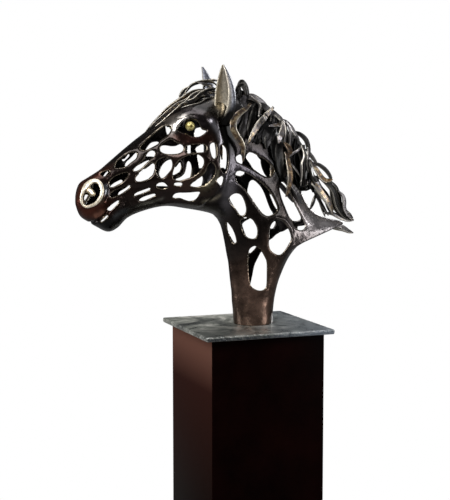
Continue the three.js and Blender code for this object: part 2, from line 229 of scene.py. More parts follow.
node(tree, "ShaderNodeOutputMaterial", links={"Surface": lacquer.outputs[0]})
plinth.data.materials.append(plinth_lacquer)
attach(plinth, "root")
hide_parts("plinth")


# Base plate: a square of thick steel with a mottled grey-green patina, laid on the plinth. Its
# rim is hammered, so it wavers and catches the light.
plate_low, plate_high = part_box("base_plate")
plate_size = plate_high - plate_low
plate_edge = 0.0035
plate_grid = 0.0022
hammer_mark = 0.011
hammer_depth = 0.003
rim_starts = 0.965

plate = softened_box("patinated_plate", plate_low, plate_high, plate_edge, hammer_depth)
remesh = plate.modifiers.new("even", "REMESH")
remesh.mode = "VOXEL"
remesh.voxel_size = plate_grid
bpy.ops.object.modifier_apply(modifier="even")


def on_the_rim(spots, full_over):
    """Shares of the rim and of the plate's height: the rim grows to full over a share of the
    plate's half side."""
    reach = np.abs(spots[:, :2]).max(1) / (plate_size.x / 2)
    rise = (spots[:, 2] - plate_low.z) / plate_size.z
    return np.clip((reach - rim_starts) / full_over, 0, 1), rise


spots = spots_of(plate)
at_rim, rise = on_the_rim(spots, 0.03)
beaten = np.where(spots[:, 2] < plate_low.z + 0.001, 0, at_rim * (0.35 + 0.65 * rise))
rim_group = plate.vertex_groups.new(name="rim")
for i, share in enumerate(beaten):
    rim_group.add([i], share, "REPLACE")
marks = bpy.data.textures.new("hammer_marks", "CLOUDS")
marks.noise_scale = hammer_mark
beat = plate.modifiers.new("beat", "DISPLACE")
beat.texture = marks
beat.texture_coords = "GLOBAL"
beat.mid_level = 0.5
beat.strength = 2 * hammer_depth
beat.vertex_group = "rim"
bpy.ops.object.modifier_apply(modifier="beat")
bpy.ops.object.shade_smooth()

# The sides to left and right are rubbed all over, the front and the back only along their top;
# the front and the back are also darker towards their bottom
spots = spots_of(plate)
at_rim, rise = on_the_rim(spots, 0.02)
on_front = np.abs(spots[:, 1]) > np.abs(spots[:, 0])
top_line = 0.15 + 0.85 * np.clip((rise - 0.7) / 0.2, 0, 1)
keep_values(plate.data, rubbed=at_rim * np.where(on_front, top_line, 1),
            dull=on_front * at_rim * np.clip((0.85 - rise) / 0.2, 0, 1))

# Steel under a grey-green patina: brushed-on clouds a hand wide, dark where it pooled, darker
# towards the front and low on the front and back sides, bluer towards the right, a bitten grain
# of 4 mm that glints, and a rim rubbed back to pale metal
plate_patina, tree = finish_of("grey_green_plate_patina")
place = node(tree, "ShaderNodeTexCoord")
rubbed_node = node(tree, "ShaderNodeAttribute", {"attribute_name": "rubbed"})
darker_low_front_back_node = node(tree, "ShaderNodeAttribute", {"attribute_name": "dull"})
cloud = node(tree, "ShaderNodeTexNoise",
             {"Scale": 11, "Detail": 8, "Roughness": 0.72, "Distortion": 1.6},
             {"Vector": place.outputs["Object"]})
tone = node(tree, "ShaderNodeValToRGB",
            {"stops": [(0.36, "#747872"), (0.5, "#adb0a6"), (0.64, "#dedcd3")]},
            {"Fac": cloud.outputs["Fac"]})
pool = node(tree, "ShaderNodeTexNoise", {"Scale": 4.6, "Detail": 3, "Distortion": 0.8},
            {"Vector": place.outputs["Object"]})
pooled = node(tree, "ShaderNodeMapRange", {"From Min": 0.5, "From Max": 0.6, "To Max": 0.7},
              {"Value": pool.outputs["Fac"]})
across = node(tree, "ShaderNodeSeparateXYZ", links={0: place.outputs["Object"]})
nearer = node(tree, "ShaderNodeMapRange",
              {"From Min": -0.2, "From Max": 0.1, "To Min": 0.62, "To Max": 0},
              {"Value": across.outputs["Y"]})
darker = node(tree, "ShaderNodeMath", {"operation": "MAXIMUM"},
              {0: pooled.outputs["Result"], 1: nearer.outputs["Result"]})
darkened = node(tree, "ShaderNodeMath", {"operation": "MAXIMUM"},
                {0: darker.outputs[0], 1: darker_low_front_back_node.outputs["Fac"]})
darkened_tone = node(tree, "ShaderNodeMix", {"data_type": "RGBA", 7: linear("#33373c")},
             {0: darkened.outputs[0], 6: tone.outputs["Color"]})
bluing = node(tree, "ShaderNodeMapRange", {"From Min": -0.02, "From Max": 0.16, "To Max": 0.55},
              {"Value": across.outputs["X"]})
blued = node(tree, "ShaderNodeMix", {"data_type": "RGBA", 7: linear("#95a0ad")},
             {0: bluing.outputs["Result"], 6: darkened_tone.outputs[2]})
grain = node(tree, "ShaderNodeTexNoise", {"Scale": 240, "Detail": 5, "Roughness": 0.7},
             {"Vector": place.outputs["Object"]})
sparkle = node(tree, "ShaderNodeMapRange", {"From Min": 0.48, "From Max": 0.66},
               {"Value": grain.outputs["Fac"]})
rim_share = node(tree, "ShaderNodeMath", {"operation": "MULTIPLY", "use_clamp": True},
                 {0: rubbed_node.outputs["Fac"], 1: sparkle.outputs["Result"]})
rimmed = node(tree, "ShaderNodeMix", {"data_type": "RGBA", 7: linear("#f4f4ee")},
              {0: rim_share.outputs[0], 6: blued.outputs[2]})
bump = node(tree, "ShaderNodeBump", {"Strength": 0.6, "Distance": 0.0016},
            {"Height": grain.outputs["Fac"]})
gloss = node(tree, "ShaderNodeMapRange",
             {"From Min": 0.35, "From Max": 0.65, "To Min": 0.22, "To Max": 0.5},
             {"Value": cloud.outputs["Fac"]})
metal = node(tree, "ShaderNodeBsdfPrincipled", {"Metallic": 0.7},
             {"Base Color": rimmed.outputs[2], "Roughness": gloss.outputs["Result"],
              "Normal": bump.outputs["Normal"]})
node(tree, "ShaderNodeOutputMaterial", links={"Surface": metal.outputs[0]})
plate.data.materials.append(plate_patina)
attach(plate, "root")
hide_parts("base_plate")


# The horse's head and neck: one bronze casting, a shell some 7 mm thick pierced by rounded
# openings. Its skin is lofted through sections in profile, raised and grooved where the face
# is modelled, and its rims are rolled over at every opening.
foot_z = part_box("horse")[0].z
mm = 0.001
wall = 7.0
rim_roll = 8.0
grid_step = 4.55

# Under point, top point, half width, and how blunt a section is below and above, in mm
sections = np.array([
    (-545, 388, -545, 390, 1, 0.50, 0.50),
    (-529, 350, -538, 426, 30, 0.45, 0.45),
    (-502, 331, -528, 449, 44, 0.40, 0.42),
    (-478, 316, -506, 463, 53, 0.40, 0.40),
    (-447, 302, -484, 476, 56, 0.42, 0.40),
    (-418, 313, -464, 489, 55, 0.45, 0.40),
    (-384, 343, -436, 512, 50, 0.48, 0.40),
    (-330, 363, -402, 540, 50, 0.50, 0.40),
    (-266, 374, -362, 571, 60, 0.50, 0.40),
    (-200, 365, -318, 602, 78, 0.48, 0.38),
    (-142, 354, -270, 637, 94, 0.46, 0.34),
    (-110, 344, -216, 668, 98, 0.45, 0.34),
    (-98, 334, -153, 695, 92, 0.45, 0.38),
    (-91, 325, -78, 705, 80, 0.46, 0.45),
    (-87, 316, -8, 682, 74, 0.48, 0.52),
    (-82, 304, 52, 640, 72, 0.50, 0.58),
    (-77, 286, 104, 588, 70, 0.50, 0.62),
    (-73, 266, 146, 520, 66, 0.50, 0.66),
    (-69, 245, 172, 446, 62, 0.50, 0.70),
    (-66, 226, 204, 372, 58, 0.50, 0.74),
    (-63, 210, 252, 330, 56, 0.50, 0.76),
    (-60, 194, 336, 306, 56, 0.50, 0.80),
    (-56, 160, 262, 286, 56, 0.50, 0.70),
    (-52, 127, 199, 263, 57, 0.50, 0.60),
    (-48, 98, 148, 217, 58, 0.50, 0.55),
    (-46, 70, 110, 148, 58, 0.50, 0.50),
    (-43, 46, 93, 92, 58, 0.50, 0.50),
    (-41, 24, 86, 44, 59, 0.50, 0.50),
    (-39, 0, 84, 0, 60, 0.50, 0.50),
], float)
last_section = len(sections) - 1

# Swellings of the face, in mm: middle in profile, radii, rise
swellings = [
    (-505, 425, 55, 45, 9),
    (-205, 640, 75, 26, 9),
    (-185, 470, 105, 105, 12),
    (-370, 455, 120, 18, 5),
    (-478, 330, 60, 30, 5),
]

# The openings as the camera sees them, in pixels of its picture. The near face's are the edges of
# its net of bars; the far face's are where daylight comes through behind them
near_openings = [
    [(140, 147), (146, 140), (155, 132), (163, 126), (170, 125.5), (170.5, 130), (166, 136),
     (160, 140.5), (157, 144), (146, 149.5), (141, 149)],
    [(133.5, 170), (137, 166), (143, 160.5), (146, 155), (149, 151.5), (152.5, 150.5),
     (155, 152.5), (154, 156.5), (151, 159), (147, 162.5), (141, 168.5), (136, 171)],
    [(136, 179.5), (137, 175.5), (142, 170.5), (148, 165.5), (152, 162.8), (154.5, 165),
     (155, 170), (152.5, 175), (149, 178.5), (143, 181), (138, 181.5)],
    [(155.5, 166), (157.5, 161), (162, 158.3), (167, 157.8), (171, 160), (172, 165), (170.5, 170),
     (167, 174.5), (163, 178), (159.5, 177.5), (157, 173.5)],
    [(160, 149), (161, 145.5), (165, 142), (169, 140), (172, 139.8), (176, 142.5), (180, 144),
     (183, 146), (183, 150), (179, 153), (172, 154), (165, 153.5), (161, 151.5)],
    [(185.5, 150), (186, 146.5), (190, 145), (198, 144.3), (204, 144.5), (206.5, 147),
     (206, 150.5), (202, 151.8), (193, 152.3), (187.5, 152.8)],
    [(210.5, 145), (213, 142.5), (216, 144), (217, 150), (216.5, 156), (215, 158.5), (213, 157),
     (211, 151)],
    [(221, 147), (222.5, 144.5), (225.5, 148), (227.5, 154), (228.3, 160), (227.5, 168),
     (225.5, 172.5), (223.5, 172), (220.7, 167), (221, 156)],
    [(172.5, 176), (173.5, 170), (176, 164), (180, 159.5), (186, 156.5), (193, 155), (198.5, 155),
     (203, 158.5), (204, 163), (202, 168), (198, 173), (192, 177), (185, 179.5), (179, 181),
     (174, 179.5)],
    [(190.5, 186), (193, 182.5), (198, 179.5), (202, 176.5), (205.5, 172), (208, 166), (211, 163),
     (214, 164), (216, 168), (215.3, 173), (212.5, 178), (208, 182.5), (202, 186), (196, 187.5)],
    [(156.5, 186.5), (158.5, 184), (162, 183), (165, 184), (167.5, 187), (166, 188.5), (161, 189)],
    [(174, 184.8), (175.5, 183.4), (181.5, 183.4), (181.5, 186), (176, 186.2)],
    [(172.8, 197.5), (175, 194.5), (180, 193.5), (190, 193.3), (199.5, 192.5), (199, 195),
     (197, 198.5), (194, 200.8), (189, 201.5), (184, 200), (180, 198.5), (175, 198.5)],
    [(216.3, 180.5), (219, 178), (222.5, 176), (223.5, 178), (222.5, 183), (221, 185.5),
     (218.5, 183)],
    [(134.5, 196), (136.5, 193.3), (142, 191), (147, 189.2), (150.3, 188.3), (149.7, 190.3),
     (144, 193), (139, 194.8)],
    [(139.5, 200.6), (142, 198.2), (148, 195.8), (154.5, 194.3), (155.5, 196), (150, 198.4),
     (144, 200.8)],
    [(115, 167), (116, 162), (121, 157.5), (127, 153.5), (132, 152), (136.5, 153), (136, 158),
     (131, 162), (126.5, 165.8), (121, 167.5)],
    [(109.3, 184), (110, 180.5), (114, 177), (120, 174.3), (127, 172.8), (128, 175), (125, 179.5),
     (121.5, 183), (116, 186), (110.5, 187)],
    [(110.5, 195.5), (113, 191.5), (119, 189.5), (124, 187.5), (129.5, 185.8), (130.3, 187.2),
     (126, 190.7), (121, 194), (115, 196.7), (111.5, 197.5)],
    [(107.8, 209.5), (111, 206.3), (115, 202.8), (118.7, 200.6), (119.7, 201.8), (117, 205.2),
     (112.5, 208.8), (109.3, 210.5)],
    [(100, 172.5), (104, 170.5), (109, 170.5), (109.5, 173), (106, 175), (102.5, 175.5)],
    [(100.3, 221.5), (103.3, 217.6), (106.8, 214.6), (107.8, 216.6), (104.9, 219.9),
     (101.8, 222.4)],
    [(236.5, 157.5), (239, 155), (246, 153), (252, 152.5), (259, 156), (266, 160), (272, 166),
     (274.5, 170.5), (272, 175.5), (268, 177), (262, 174.5), (253, 169.5), (247, 166),
     (241, 163.5), (237.5, 161.5)],
    [(236, 174.5), (238, 171.5), (243, 171.8), (250, 175), (257, 179.3), (264, 185), (270, 192),
     (275, 200.5), (277.8, 208), (276, 212.5), (272, 215), (268, 216), (263.5, 213.5), (258, 207),
     (252.5, 199), (249, 194), (245.5, 189), (241, 185), (237, 181)],
    [(229.3, 199.5), (231.5, 196), (235.5, 193.8), (239.5, 194.3), (242.5, 197), (245, 203),
     (246.3, 209), (245.5, 213.5), (243, 215.7), (240, 215), (236.5, 210), (232, 204.5)],
    [(240.8, 223), (242.5, 219), (246, 217.5), (252, 219.5), (254.8, 223), (257.2, 228),
     (257.5, 234), (255.5, 238.2), (251.5, 238.8), (247, 236.8), (243.5, 232)],
    [(226, 223), (228.5, 224.5), (232, 229.5), (234.5, 235), (236, 241.5), (234.8, 243.3),
     (232, 242), (229, 236), (226.8, 229.5)],
    [(270.5, 228), (272, 224), (275.5, 220), (279.5, 220.3), (284, 222.5), (288, 228),
     (290.5, 234), (291.3, 239.5), (288, 246), (284.5, 251.5), (280.5, 254.8), (276, 254),
     (271.5, 250.5), (269.6, 245.5), (269.8, 238)],
    [(248.8, 254), (250, 249.5), (253, 247), (256, 246.5), (260.5, 250), (264, 255.5),
     (266.7, 262), (267, 272), (267, 283), (266, 288), (262, 290.5), (257, 290), (252, 287),
     (249.8, 282), (248.6, 268)],
    [(280.5, 186), (282.5, 182), (286, 184), (289.5, 190), (293, 199), (297.5, 208), (302, 217),
     (305.5, 225), (304, 229), (300, 230), (296.5, 227.5), (292, 221), (287.5, 211), (283.5, 201),
     (281, 193)],
]
far_openings = [
    [(165.5, 124), (173, 124), (171, 130), (167.5, 134.5), (165.8, 131)],
    [(144.5, 151), (148, 145), (151, 142.3), (157.5, 141.8), (157, 146), (150, 150)],
    [(145.5, 156), (148, 152), (152, 149.5), (157, 150), (155.5, 156.3), (150, 156.3)],
    [(132.5, 171), (135, 167), (140, 164), (145, 161.3), (148.5, 160.5), (146, 165), (140, 172),
     (134, 173)],
    [(134, 183), (136.5, 176), (141, 171.8), (147.3, 167.3), (151.5, 163.8), (153.5, 164),
     (153.8, 168.5), (152, 174.5), (149, 177.5), (144, 184)],
    [(158.7, 175), (159.5, 170), (162, 165), (165.5, 161.5), (169, 159.8), (173, 160), (174, 166),
     (171, 174), (165.5, 179), (161.5, 179)],
    [(158, 150), (160.5, 146), (165, 145.3), (170, 146), (175, 145.7), (178, 144.5), (183, 143),
     (185, 147), (184, 152), (176, 156), (165, 156), (159, 154)],
    [(187.6, 144), (190, 144), (190.3, 149), (190, 154), (187.6, 154), (187.3, 149)],
    [(196, 147.5), (198.5, 145.8), (202, 144), (204, 144.5), (204.4, 149), (204.2, 152.5),
     (199, 152.8), (196, 151.2)],
    [(209, 144), (213, 141), (214.6, 145), (215.4, 152), (215.2, 158), (213, 160), (209, 152)],
    [(219, 143), (223.5, 143), (225.7, 150), (226.3, 158), (225.3, 168.5), (222.8, 167.3),
     (219, 166.5), (218, 155)],
    [(171, 176), (173.5, 170), (176.5, 166), (179.2, 162.5), (180.2, 165), (180, 169),
     (178.5, 172), (175.5, 174), (172.5, 175.5)],
    [(187, 163), (188.5, 161), (190.5, 164), (191.2, 169), (190.3, 174), (189, 178), (185, 182),
     (176, 182), (175.5, 179.5), (180, 177.5), (184, 174), (186, 169)],
    [(197, 156.5), (198, 154), (203, 154), (206, 160), (205, 166), (201, 168.5), (199.5, 167.5),
     (198.5, 162)],
    [(189, 188), (192.5, 183.5), (196, 181), (200.5, 177), (202.7, 177), (202, 183), (199.5, 188),
     (193, 190)],
    [(155, 187), (158, 182), (166, 181), (168, 186.3), (162, 186.5), (157, 186.5)],
    [(172, 182), (178, 181), (184, 182), (184, 188), (178, 189), (172, 188)],
    [(171, 198), (174, 193), (180, 191.5), (190, 191), (200.5, 191), (199.5, 194), (197.5, 198.5),
     (194.5, 202), (188, 204), (180, 202), (173, 201)],
    [(214, 180), (218, 176), (223, 174), (225, 178), (223.5, 184), (221, 188), (217, 185)],
    [(132, 197), (136, 192), (142, 189), (151, 186.5), (151, 190), (144, 195), (136, 198)],
    [(137, 202), (141, 197), (148, 194), (156, 192.5), (157, 197), (150, 200.5), (142, 203)],
    [(124.6, 164.8), (126, 161.5), (130, 158), (134, 153.5), (137.5, 151), (139, 156), (134, 162),
     (128, 166.5), (125.5, 167)],
    [(121.5, 159), (124, 158.5), (127.5, 154), (128.7, 155.3), (126, 158.5), (123, 161)],
    [(110, 186.4), (113, 184), (117, 181.5), (120.5, 179.8), (122.2, 181), (121, 183.2),
     (117, 185), (112.5, 187)],
    [(118.3, 193.5), (119.5, 191.7), (124.5, 188.7), (131, 184.5), (133, 187), (127, 192),
     (121, 196), (118.5, 195)],
    [(106, 211), (110, 206), (115, 201.5), (120, 199), (121.5, 202), (117, 207), (111, 211.5)],
    [(102.8, 175.5), (104.5, 173), (106.7, 170.8), (107.3, 172), (105, 175), (103.8, 176.5)],
    [(97, 224), (101, 217), (107, 212.5), (111, 216), (107, 222), (101, 226)],
    [(194.8, 129.5), (198.5, 127.5), (208, 127.5), (209, 132), (204, 137), (199, 138.5),
     (194.5, 137.5)],
    [(235, 157), (238, 154), (241.5, 156), (242, 163), (238, 164.5), (235.5, 161)],
    [(245.8, 156.5), (251, 151), (258, 153), (266, 158), (273, 164), (277, 170), (273, 178),
     (267, 179), (262, 175), (253.3, 168.5), (250, 163.5)],
    [(234, 173.5), (237, 170), (243.8, 170), (243.8, 173.5), (241.5, 175.2), (238.5, 175.5)],
    [(248.3, 186), (249.5, 181.5), (252.5, 180), (256, 182), (261, 187.5), (264.5, 194.5),
     (267.5, 203), (270, 209), (272.8, 214), (271, 220), (263, 217), (256, 208), (250, 199),
     (247, 193)],
    [(269.5, 193.5), (271.5, 192), (277, 201), (280, 208), (276.7, 209), (273.2, 203)],
    [(229.5, 199.5), (231, 195), (236, 191), (243, 192), (248, 203), (249, 211), (246, 218),
     (241, 216.5), (236.5, 210.5)],
    [(242, 225), (244, 221.8), (248, 219.5), (254, 217), (260, 226), (260, 236), (256, 241),
     (248, 240), (245, 234)],
    [(226.5, 221), (229, 224), (233, 230), (238, 238), (237, 245), (234, 243), (230, 236.5),
     (227, 230)],
    [(270, 227.5), (272, 223), (275, 221), (274.3, 225), (272.4, 228.3)],
    [(268, 241.5), (272, 238), (277, 233.5), (283, 231), (289.5, 228.5), (294, 238), (289, 250),
     (283, 258), (274, 257), (267, 250)],
    [(247, 251.5), (250, 247), (256, 244.5), (254.7, 248), (252.2, 250.7), (250, 252.7)],
    [(261, 251.5), (257.5, 257.5), (254, 265), (252, 275), (250.5, 282), (249, 290), (258, 293),
     (268, 292), (270, 270), (268, 258), (264, 252)],
    [(279, 186), (281, 182), (288, 184), (291, 193), (294, 203), (298, 211), (300.5, 218.5),
     (292.8, 220.3), (287, 212), (282, 201), (279, 192)],
    [(297.3, 226.3), (301, 225.5), (306, 225), (305, 231), (299, 231.5)],
]

# The eye's almond, the pit of the nostril with a lobe that hangs into it from in front, and the
# daylight behind it
eye_opening = [(177.3, 129.3), (181, 125), (185, 121), (190, 119.3), (195, 120.3), (198.5, 123),
               (200.5, 127), (202.5, 129.6), (206.8, 130.5), (204, 133.5), (199.5, 136),
               (194, 136.3), (190, 135), (186, 133), (181, 131.5)]
nostril_pit = [(90.2, 185), (94.7, 182.8), (98.6, 185), (100.2, 188.9), (100.2, 192.5), (99, 196),
               (97.5, 198.5), (96, 201.8), (91.5, 204.4), (86.5, 205.5), (83.6, 203.3),
               (82.3, 199), (82.8, 195.5), (85, 192.6), (87.6, 192.6), (89.3, 194.8),
               (91.5, 196.6), (94.3, 196), (95.4, 193.4), (94, 190.6), (91.8, 188.6),
               (90.6, 186.8)]
nostril_daylight = [(83.5, 198), (85, 194.5), (88.5, 196), (88, 200.5), (85.5, 204), (84, 202)]


def curve(p, q, r, s, t):
    """The smooth curve from q to r that comes from p and goes on to s, at shares t of its way."""
    return q + 0.5 * t * (r - p + t * (2 * p - 5 * q + 4 * r - s + t * (3 * (q - r) + s - p)))


def section_at(places):
    """Sections between the drawn ones, on a smooth curve through them."""
    places = np.clip(places, 0, last_section)
    i = np.minimum(places.astype(int), last_section - 1)
    around = [sections[np.clip(i + k, 0, last_section)] for k in (-1, 0, 1, 2)]
    return curve(*around, (places - i)[..., None])


def skin_at(places, angles):
    """Points of the skin, in mm above the plate; the angle runs from below over the near side."""
    under_x, under_z, top_x, top_z, half, below, above = np.moveaxis(section_at(places), -1, 0)
    rise = np.abs(np.sin(angles / 2))
    fall = np.abs(np.cos(angles / 2))
    x = under_x + rise ** 2 * (top_x - under_x)
    z = under_z + rise ** 2 * (top_z - under_z)
    swell = sum(lift * np.exp(-2 * np.hypot((x - mid_x) / rx, (z - mid_z) / rz) ** 4)
                for mid_x, mid_z, rx, rz, lift in swellings)
    peak = (below / (below + above)) ** below * (above / (below + above)) ** above
    width = (half + swell) * rise ** (2 * below) * fall ** (2 * above) / peak
    return np.stack([x, np.where(np.sin(angles) >= 0, -width, width), z], -1)


def evenly_along(points, step):
    """Places, as fractional indices, that divide a row of points into even steps."""
    run = np.concatenate([[0], np.cumsum(step)])
    return np.interp(np.linspace(0, run[-1], points), run, np.arange(len(run)))


# Rows as far apart as the grid step where the skin is widest, and even columns round each row
half_columns = 75
nose_start = 0.04
fine_rows, fine_turns = 1600, 500

fine = np.linspace(nose_start, last_section, fine_rows)
lines = np.stack([skin_at(fine, np.full_like(fine, angle))
                  for angle in (0.01, math.pi / 2, math.pi - 0.01)])
stride = np.linalg.norm(np.diff(lines, axis=1), axis=-1).max(0)
row_count = int(stride.sum() / grid_step)
rows = np.interp(evenly_along(row_count, stride), np.arange(fine_rows), fine)
turn = np.linspace(0, math.pi, fine_turns)
angles = np.empty((row_count, 2 * half_columns))
for i, place_along in enumerate(rows):
    line = skin_at(np.full_like(turn, place_along), turn)
    gaps = np.linalg.norm(np.diff(line, axis=0), axis=-1)
    half_turn = np.interp(evenly_along(half_columns + 1, gaps), np.arange(fine_turns), turn)
    angles[i, :half_columns + 1] = half_turn
    angles[i, half_columns + 1:] = 2 * math.pi - half_turn[1:-1][::-1]
skin = skin_at(np.repeat(rows[:, None], 2 * half_columns, 1), angles)


def unit(vectors):
    return vectors / np.maximum(np.linalg.norm(vectors, axis=-1, keepdims=True), 1e-9)


def normals_of(grid):
    """Outward normals of a grid of points that closes round its rows."""
    return unit(np.cross(np.gradient(grid, axis=0), np.roll(grid, -1, 1) - np.roll(grid, 1, 1)))


def distance_to_line(x, z, line):
    """Distance in profile to a line through points, the share along it, and the side."""
    line = np.array(line, float)
    near = np.full(x.shape, 1e9)
    share = np.zeros(x.shape)
    side = np.zeros(x.shape)
    for k in range(len(line) - 1):
        a, b = line[k], line[k + 1]
        ab = b - a
        t = np.clip(((x - a[0]) * ab[0] + (z - a[1]) * ab[1]) / (ab @ ab), 0, 1)
        dx = x - (a[0] + t * ab[0])
        dz = z - (a[1] + t * ab[1])
        d = np.hypot(dx, dz)
        closer = d < near
        near = np.where(closer, d, near)
        share = np.where(closer, (k + t) / (len(line) - 1), share)
        side = np.where(closer, np.sign(ab[0] * dz - ab[1] * dx), side)
    return near, share, side


def ends_fade(share):
    """One along a line, and down to nearly nought towards its ends."""
    return np.clip(np.sin(math.pi * np.clip(share, 0.02, 0.98)) * 2, 0, 1)


# Lines of the modelling, in profile: the head's rear edge behind jaw and temple, and the mouth
rear_edge = [(-112, 668), (-122, 645), (-121, 610), (-114, 574), (-110, 529), (-113, 485),
             (-123, 440), (-140, 403), (-171, 378)]
mouth_line = [(-505, 320), (-497, 332), (-482, 345), (-463, 362), (-445, 383), (-427, 400)]
jaw_rise, neck_groove, mouth_depth, eye_depth = 5.0, 7.0, 11.0, 5.0
# The brow, the jaw's spiral, folds of the muzzle and ridges of the neck: line, rise, half width
ridges = [
    ([(-268, 606), (-240, 632), (-207, 646), (-175, 640), (-150, 612)], 6, 13),
    ([(-265, 471), (-252, 505), (-225, 532), (-190, 537), (-166, 515), (-168, 480), (-190, 458)],
     4, 9),
    ([(-128, 500), (-125, 470), (-148, 440), (-185, 424)], 5, 7),
    ([(-462, 465), (-452, 430), (-466, 386)], -4, 10),
    ([(-68, 480), (-48, 482), (-12, 463), (28, 420), (56, 384), (78, 360)], 4, 6),
    ([(48, 318), (75, 332), (108, 325), (130, 296), (134, 262)], 4, 6),
    ([(-300, 385), (-250, 390), (-190, 384), (-150, 376)], 4, 9),
    ([(-420, 372), (-360, 388), (-300, 398)], 4, 8),
]

x, z = skin[..., 0], skin[..., 2]
near, share, side = distance_to_line(x, z, rear_edge)
ahead = near * -side
relief = jaw_rise * (np.tanh(ahead / 3) + 1) * np.exp(-np.maximum(ahead, 0) / 45) * ends_fade(share)
relief -= neck_groove * np.exp(-((ahead + 9) / 8) ** 2) * ends_fade(share)
near, share, _ = distance_to_line(x, z, mouth_line)
mouth = -mouth_depth * np.exp(-(near / 4) ** 2) * np.clip(2.5 * (1 - share), 0, 1)
for line, lift, half_width in ridges:
    near, share, _ = distance_to_line(x, z, line)
    relief += lift * np.exp(-(near / half_width) ** 2) * ends_fade(share)
relief -= eye_depth * np.exp(-np.hypot((x + 211) / 62, (z - 611) / 34) ** 4)
normals = normals_of(skin)
flank = np.clip(2 * np.abs(normals[..., 1:2]), 0, 1)
skin = skin + normals * (relief[..., None] * flank + mouth[..., None])

# The foot stands flat on the plate, and the muzzle stays inside the construction's length
skin[..., 2] = np.maximum(skin[..., 2], 0)
skin[..., 0] = np.maximum(skin[..., 0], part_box("horse")[0].x / mm + 0.5)
normals = normals_of(skin)

# In pixels of the picture: how far from a rim its distance still counts, how softly two rims run
# together, and how far round an opening its rim is looked for
focal_pixels = picture_height * camera_lens / camera_sensor
farthest_room = 20.0
rim_blend = 0.8
search_border = 14


def as_seen(points):
    """Where points in mm fall in the camera's picture, in its pixels, and how far off, in mm."""
    from_camera = points - (np.array(camera_place) / mm - np.array([0, 0, foot_z / mm]))
    away = from_camera @ np.array(forward)
    across = from_camera @ np.array(rightward) / away * focal_pixels
    up = from_camera @ np.array(upward) / away * focal_pixels
    return picture_width / 2 + across, picture_height / 2 - up, away


def closed_curve(stops, steps):
    """Points on a smooth closed curve through the stops, in even steps from each to the next."""
    around = [np.roll(np.array(stops, float), k, 0)[:, None] for k in (1, 0, -1, -2)]
    t = np.linspace(0, 1, steps, endpoint=False)[None, :, None]
    return curve(*around, t).reshape(-1, 2)


def room_beside(points, normals, outlines):
    """Distance along the skin to the nearest opening's rim, negative inside an opening."""
    px, py, away = as_seen(points)
    room = np.full(px.shape, farthest_room)
    for outline in outlines:
        low = np.min(outline, 0) - search_border
        high = np.max(outline, 0) + search_border
        close = (px > low[0]) & (px < high[0]) & (py > low[1]) & (py < high[1])
        edge = closed_curve(outline, 5)
        following = np.roll(edge, -1, 0)
        run_x, run_y = (following - edge).T
        from_x, from_y = px[close][:, None] - edge[:, 0], py[close][:, None] - edge[:, 1]
        share = np.clip((from_x * run_x + from_y * run_y) / (run_x ** 2 + run_y ** 2), 0, 1)
        distance = np.hypot(from_x - share * run_x, from_y - share * run_y).min(1)
        below = py[close][:, None]
        crosses = ((edge[:, 1] > below) != (following[:, 1] > below)) & (
            from_x < from_y * run_x / np.where(run_y == 0, 1e-9, run_y))
        distance = np.where(crosses.sum(1) % 2 == 1, -distance, distance)
        before = room[close]
        mix = np.clip(0.5 + 0.5 * (before - distance) / rim_blend, 0, 1)
        room[close] = before * (1 - mix) + distance * mix - rim_blend * mix * (1 - mix)
    facing = np.abs(normals @ np.array(forward))
    return room * away / focal_pixels / np.maximum(facing, 0.5)


room = np.where(skin[..., 1] < 0,
                room_beside(skin, normals, near_openings + [eye_opening, nostril_pit]),
                room_beside(skin, normals, far_openings + [nostril_daylight]))
nose_rows, foot_rows = 4, 6  # kept whole
room[:nose_rows] = 60
room[-foot_rows:] = np.maximum(room[-foot_rows:], 10)

# The wall is rounded off towards its middle at each rim
inner = skin - normals * wall
keep_side = np.where(skin[..., 1] < 0, -1, 1)
inner[..., 1] = keep_side * np.maximum(keep_side * inner[..., 1], 0.3)
middle = (skin + inner) / 2
roll = 1 - np.sqrt(np.clip(1 - (1 - np.clip(room / rim_roll, 0, 1)) ** 2, 0, 1))[..., None]
outer_face = skin * (1 - roll) + middle * roll
inner_face = inner * (1 - roll) + middle * roll


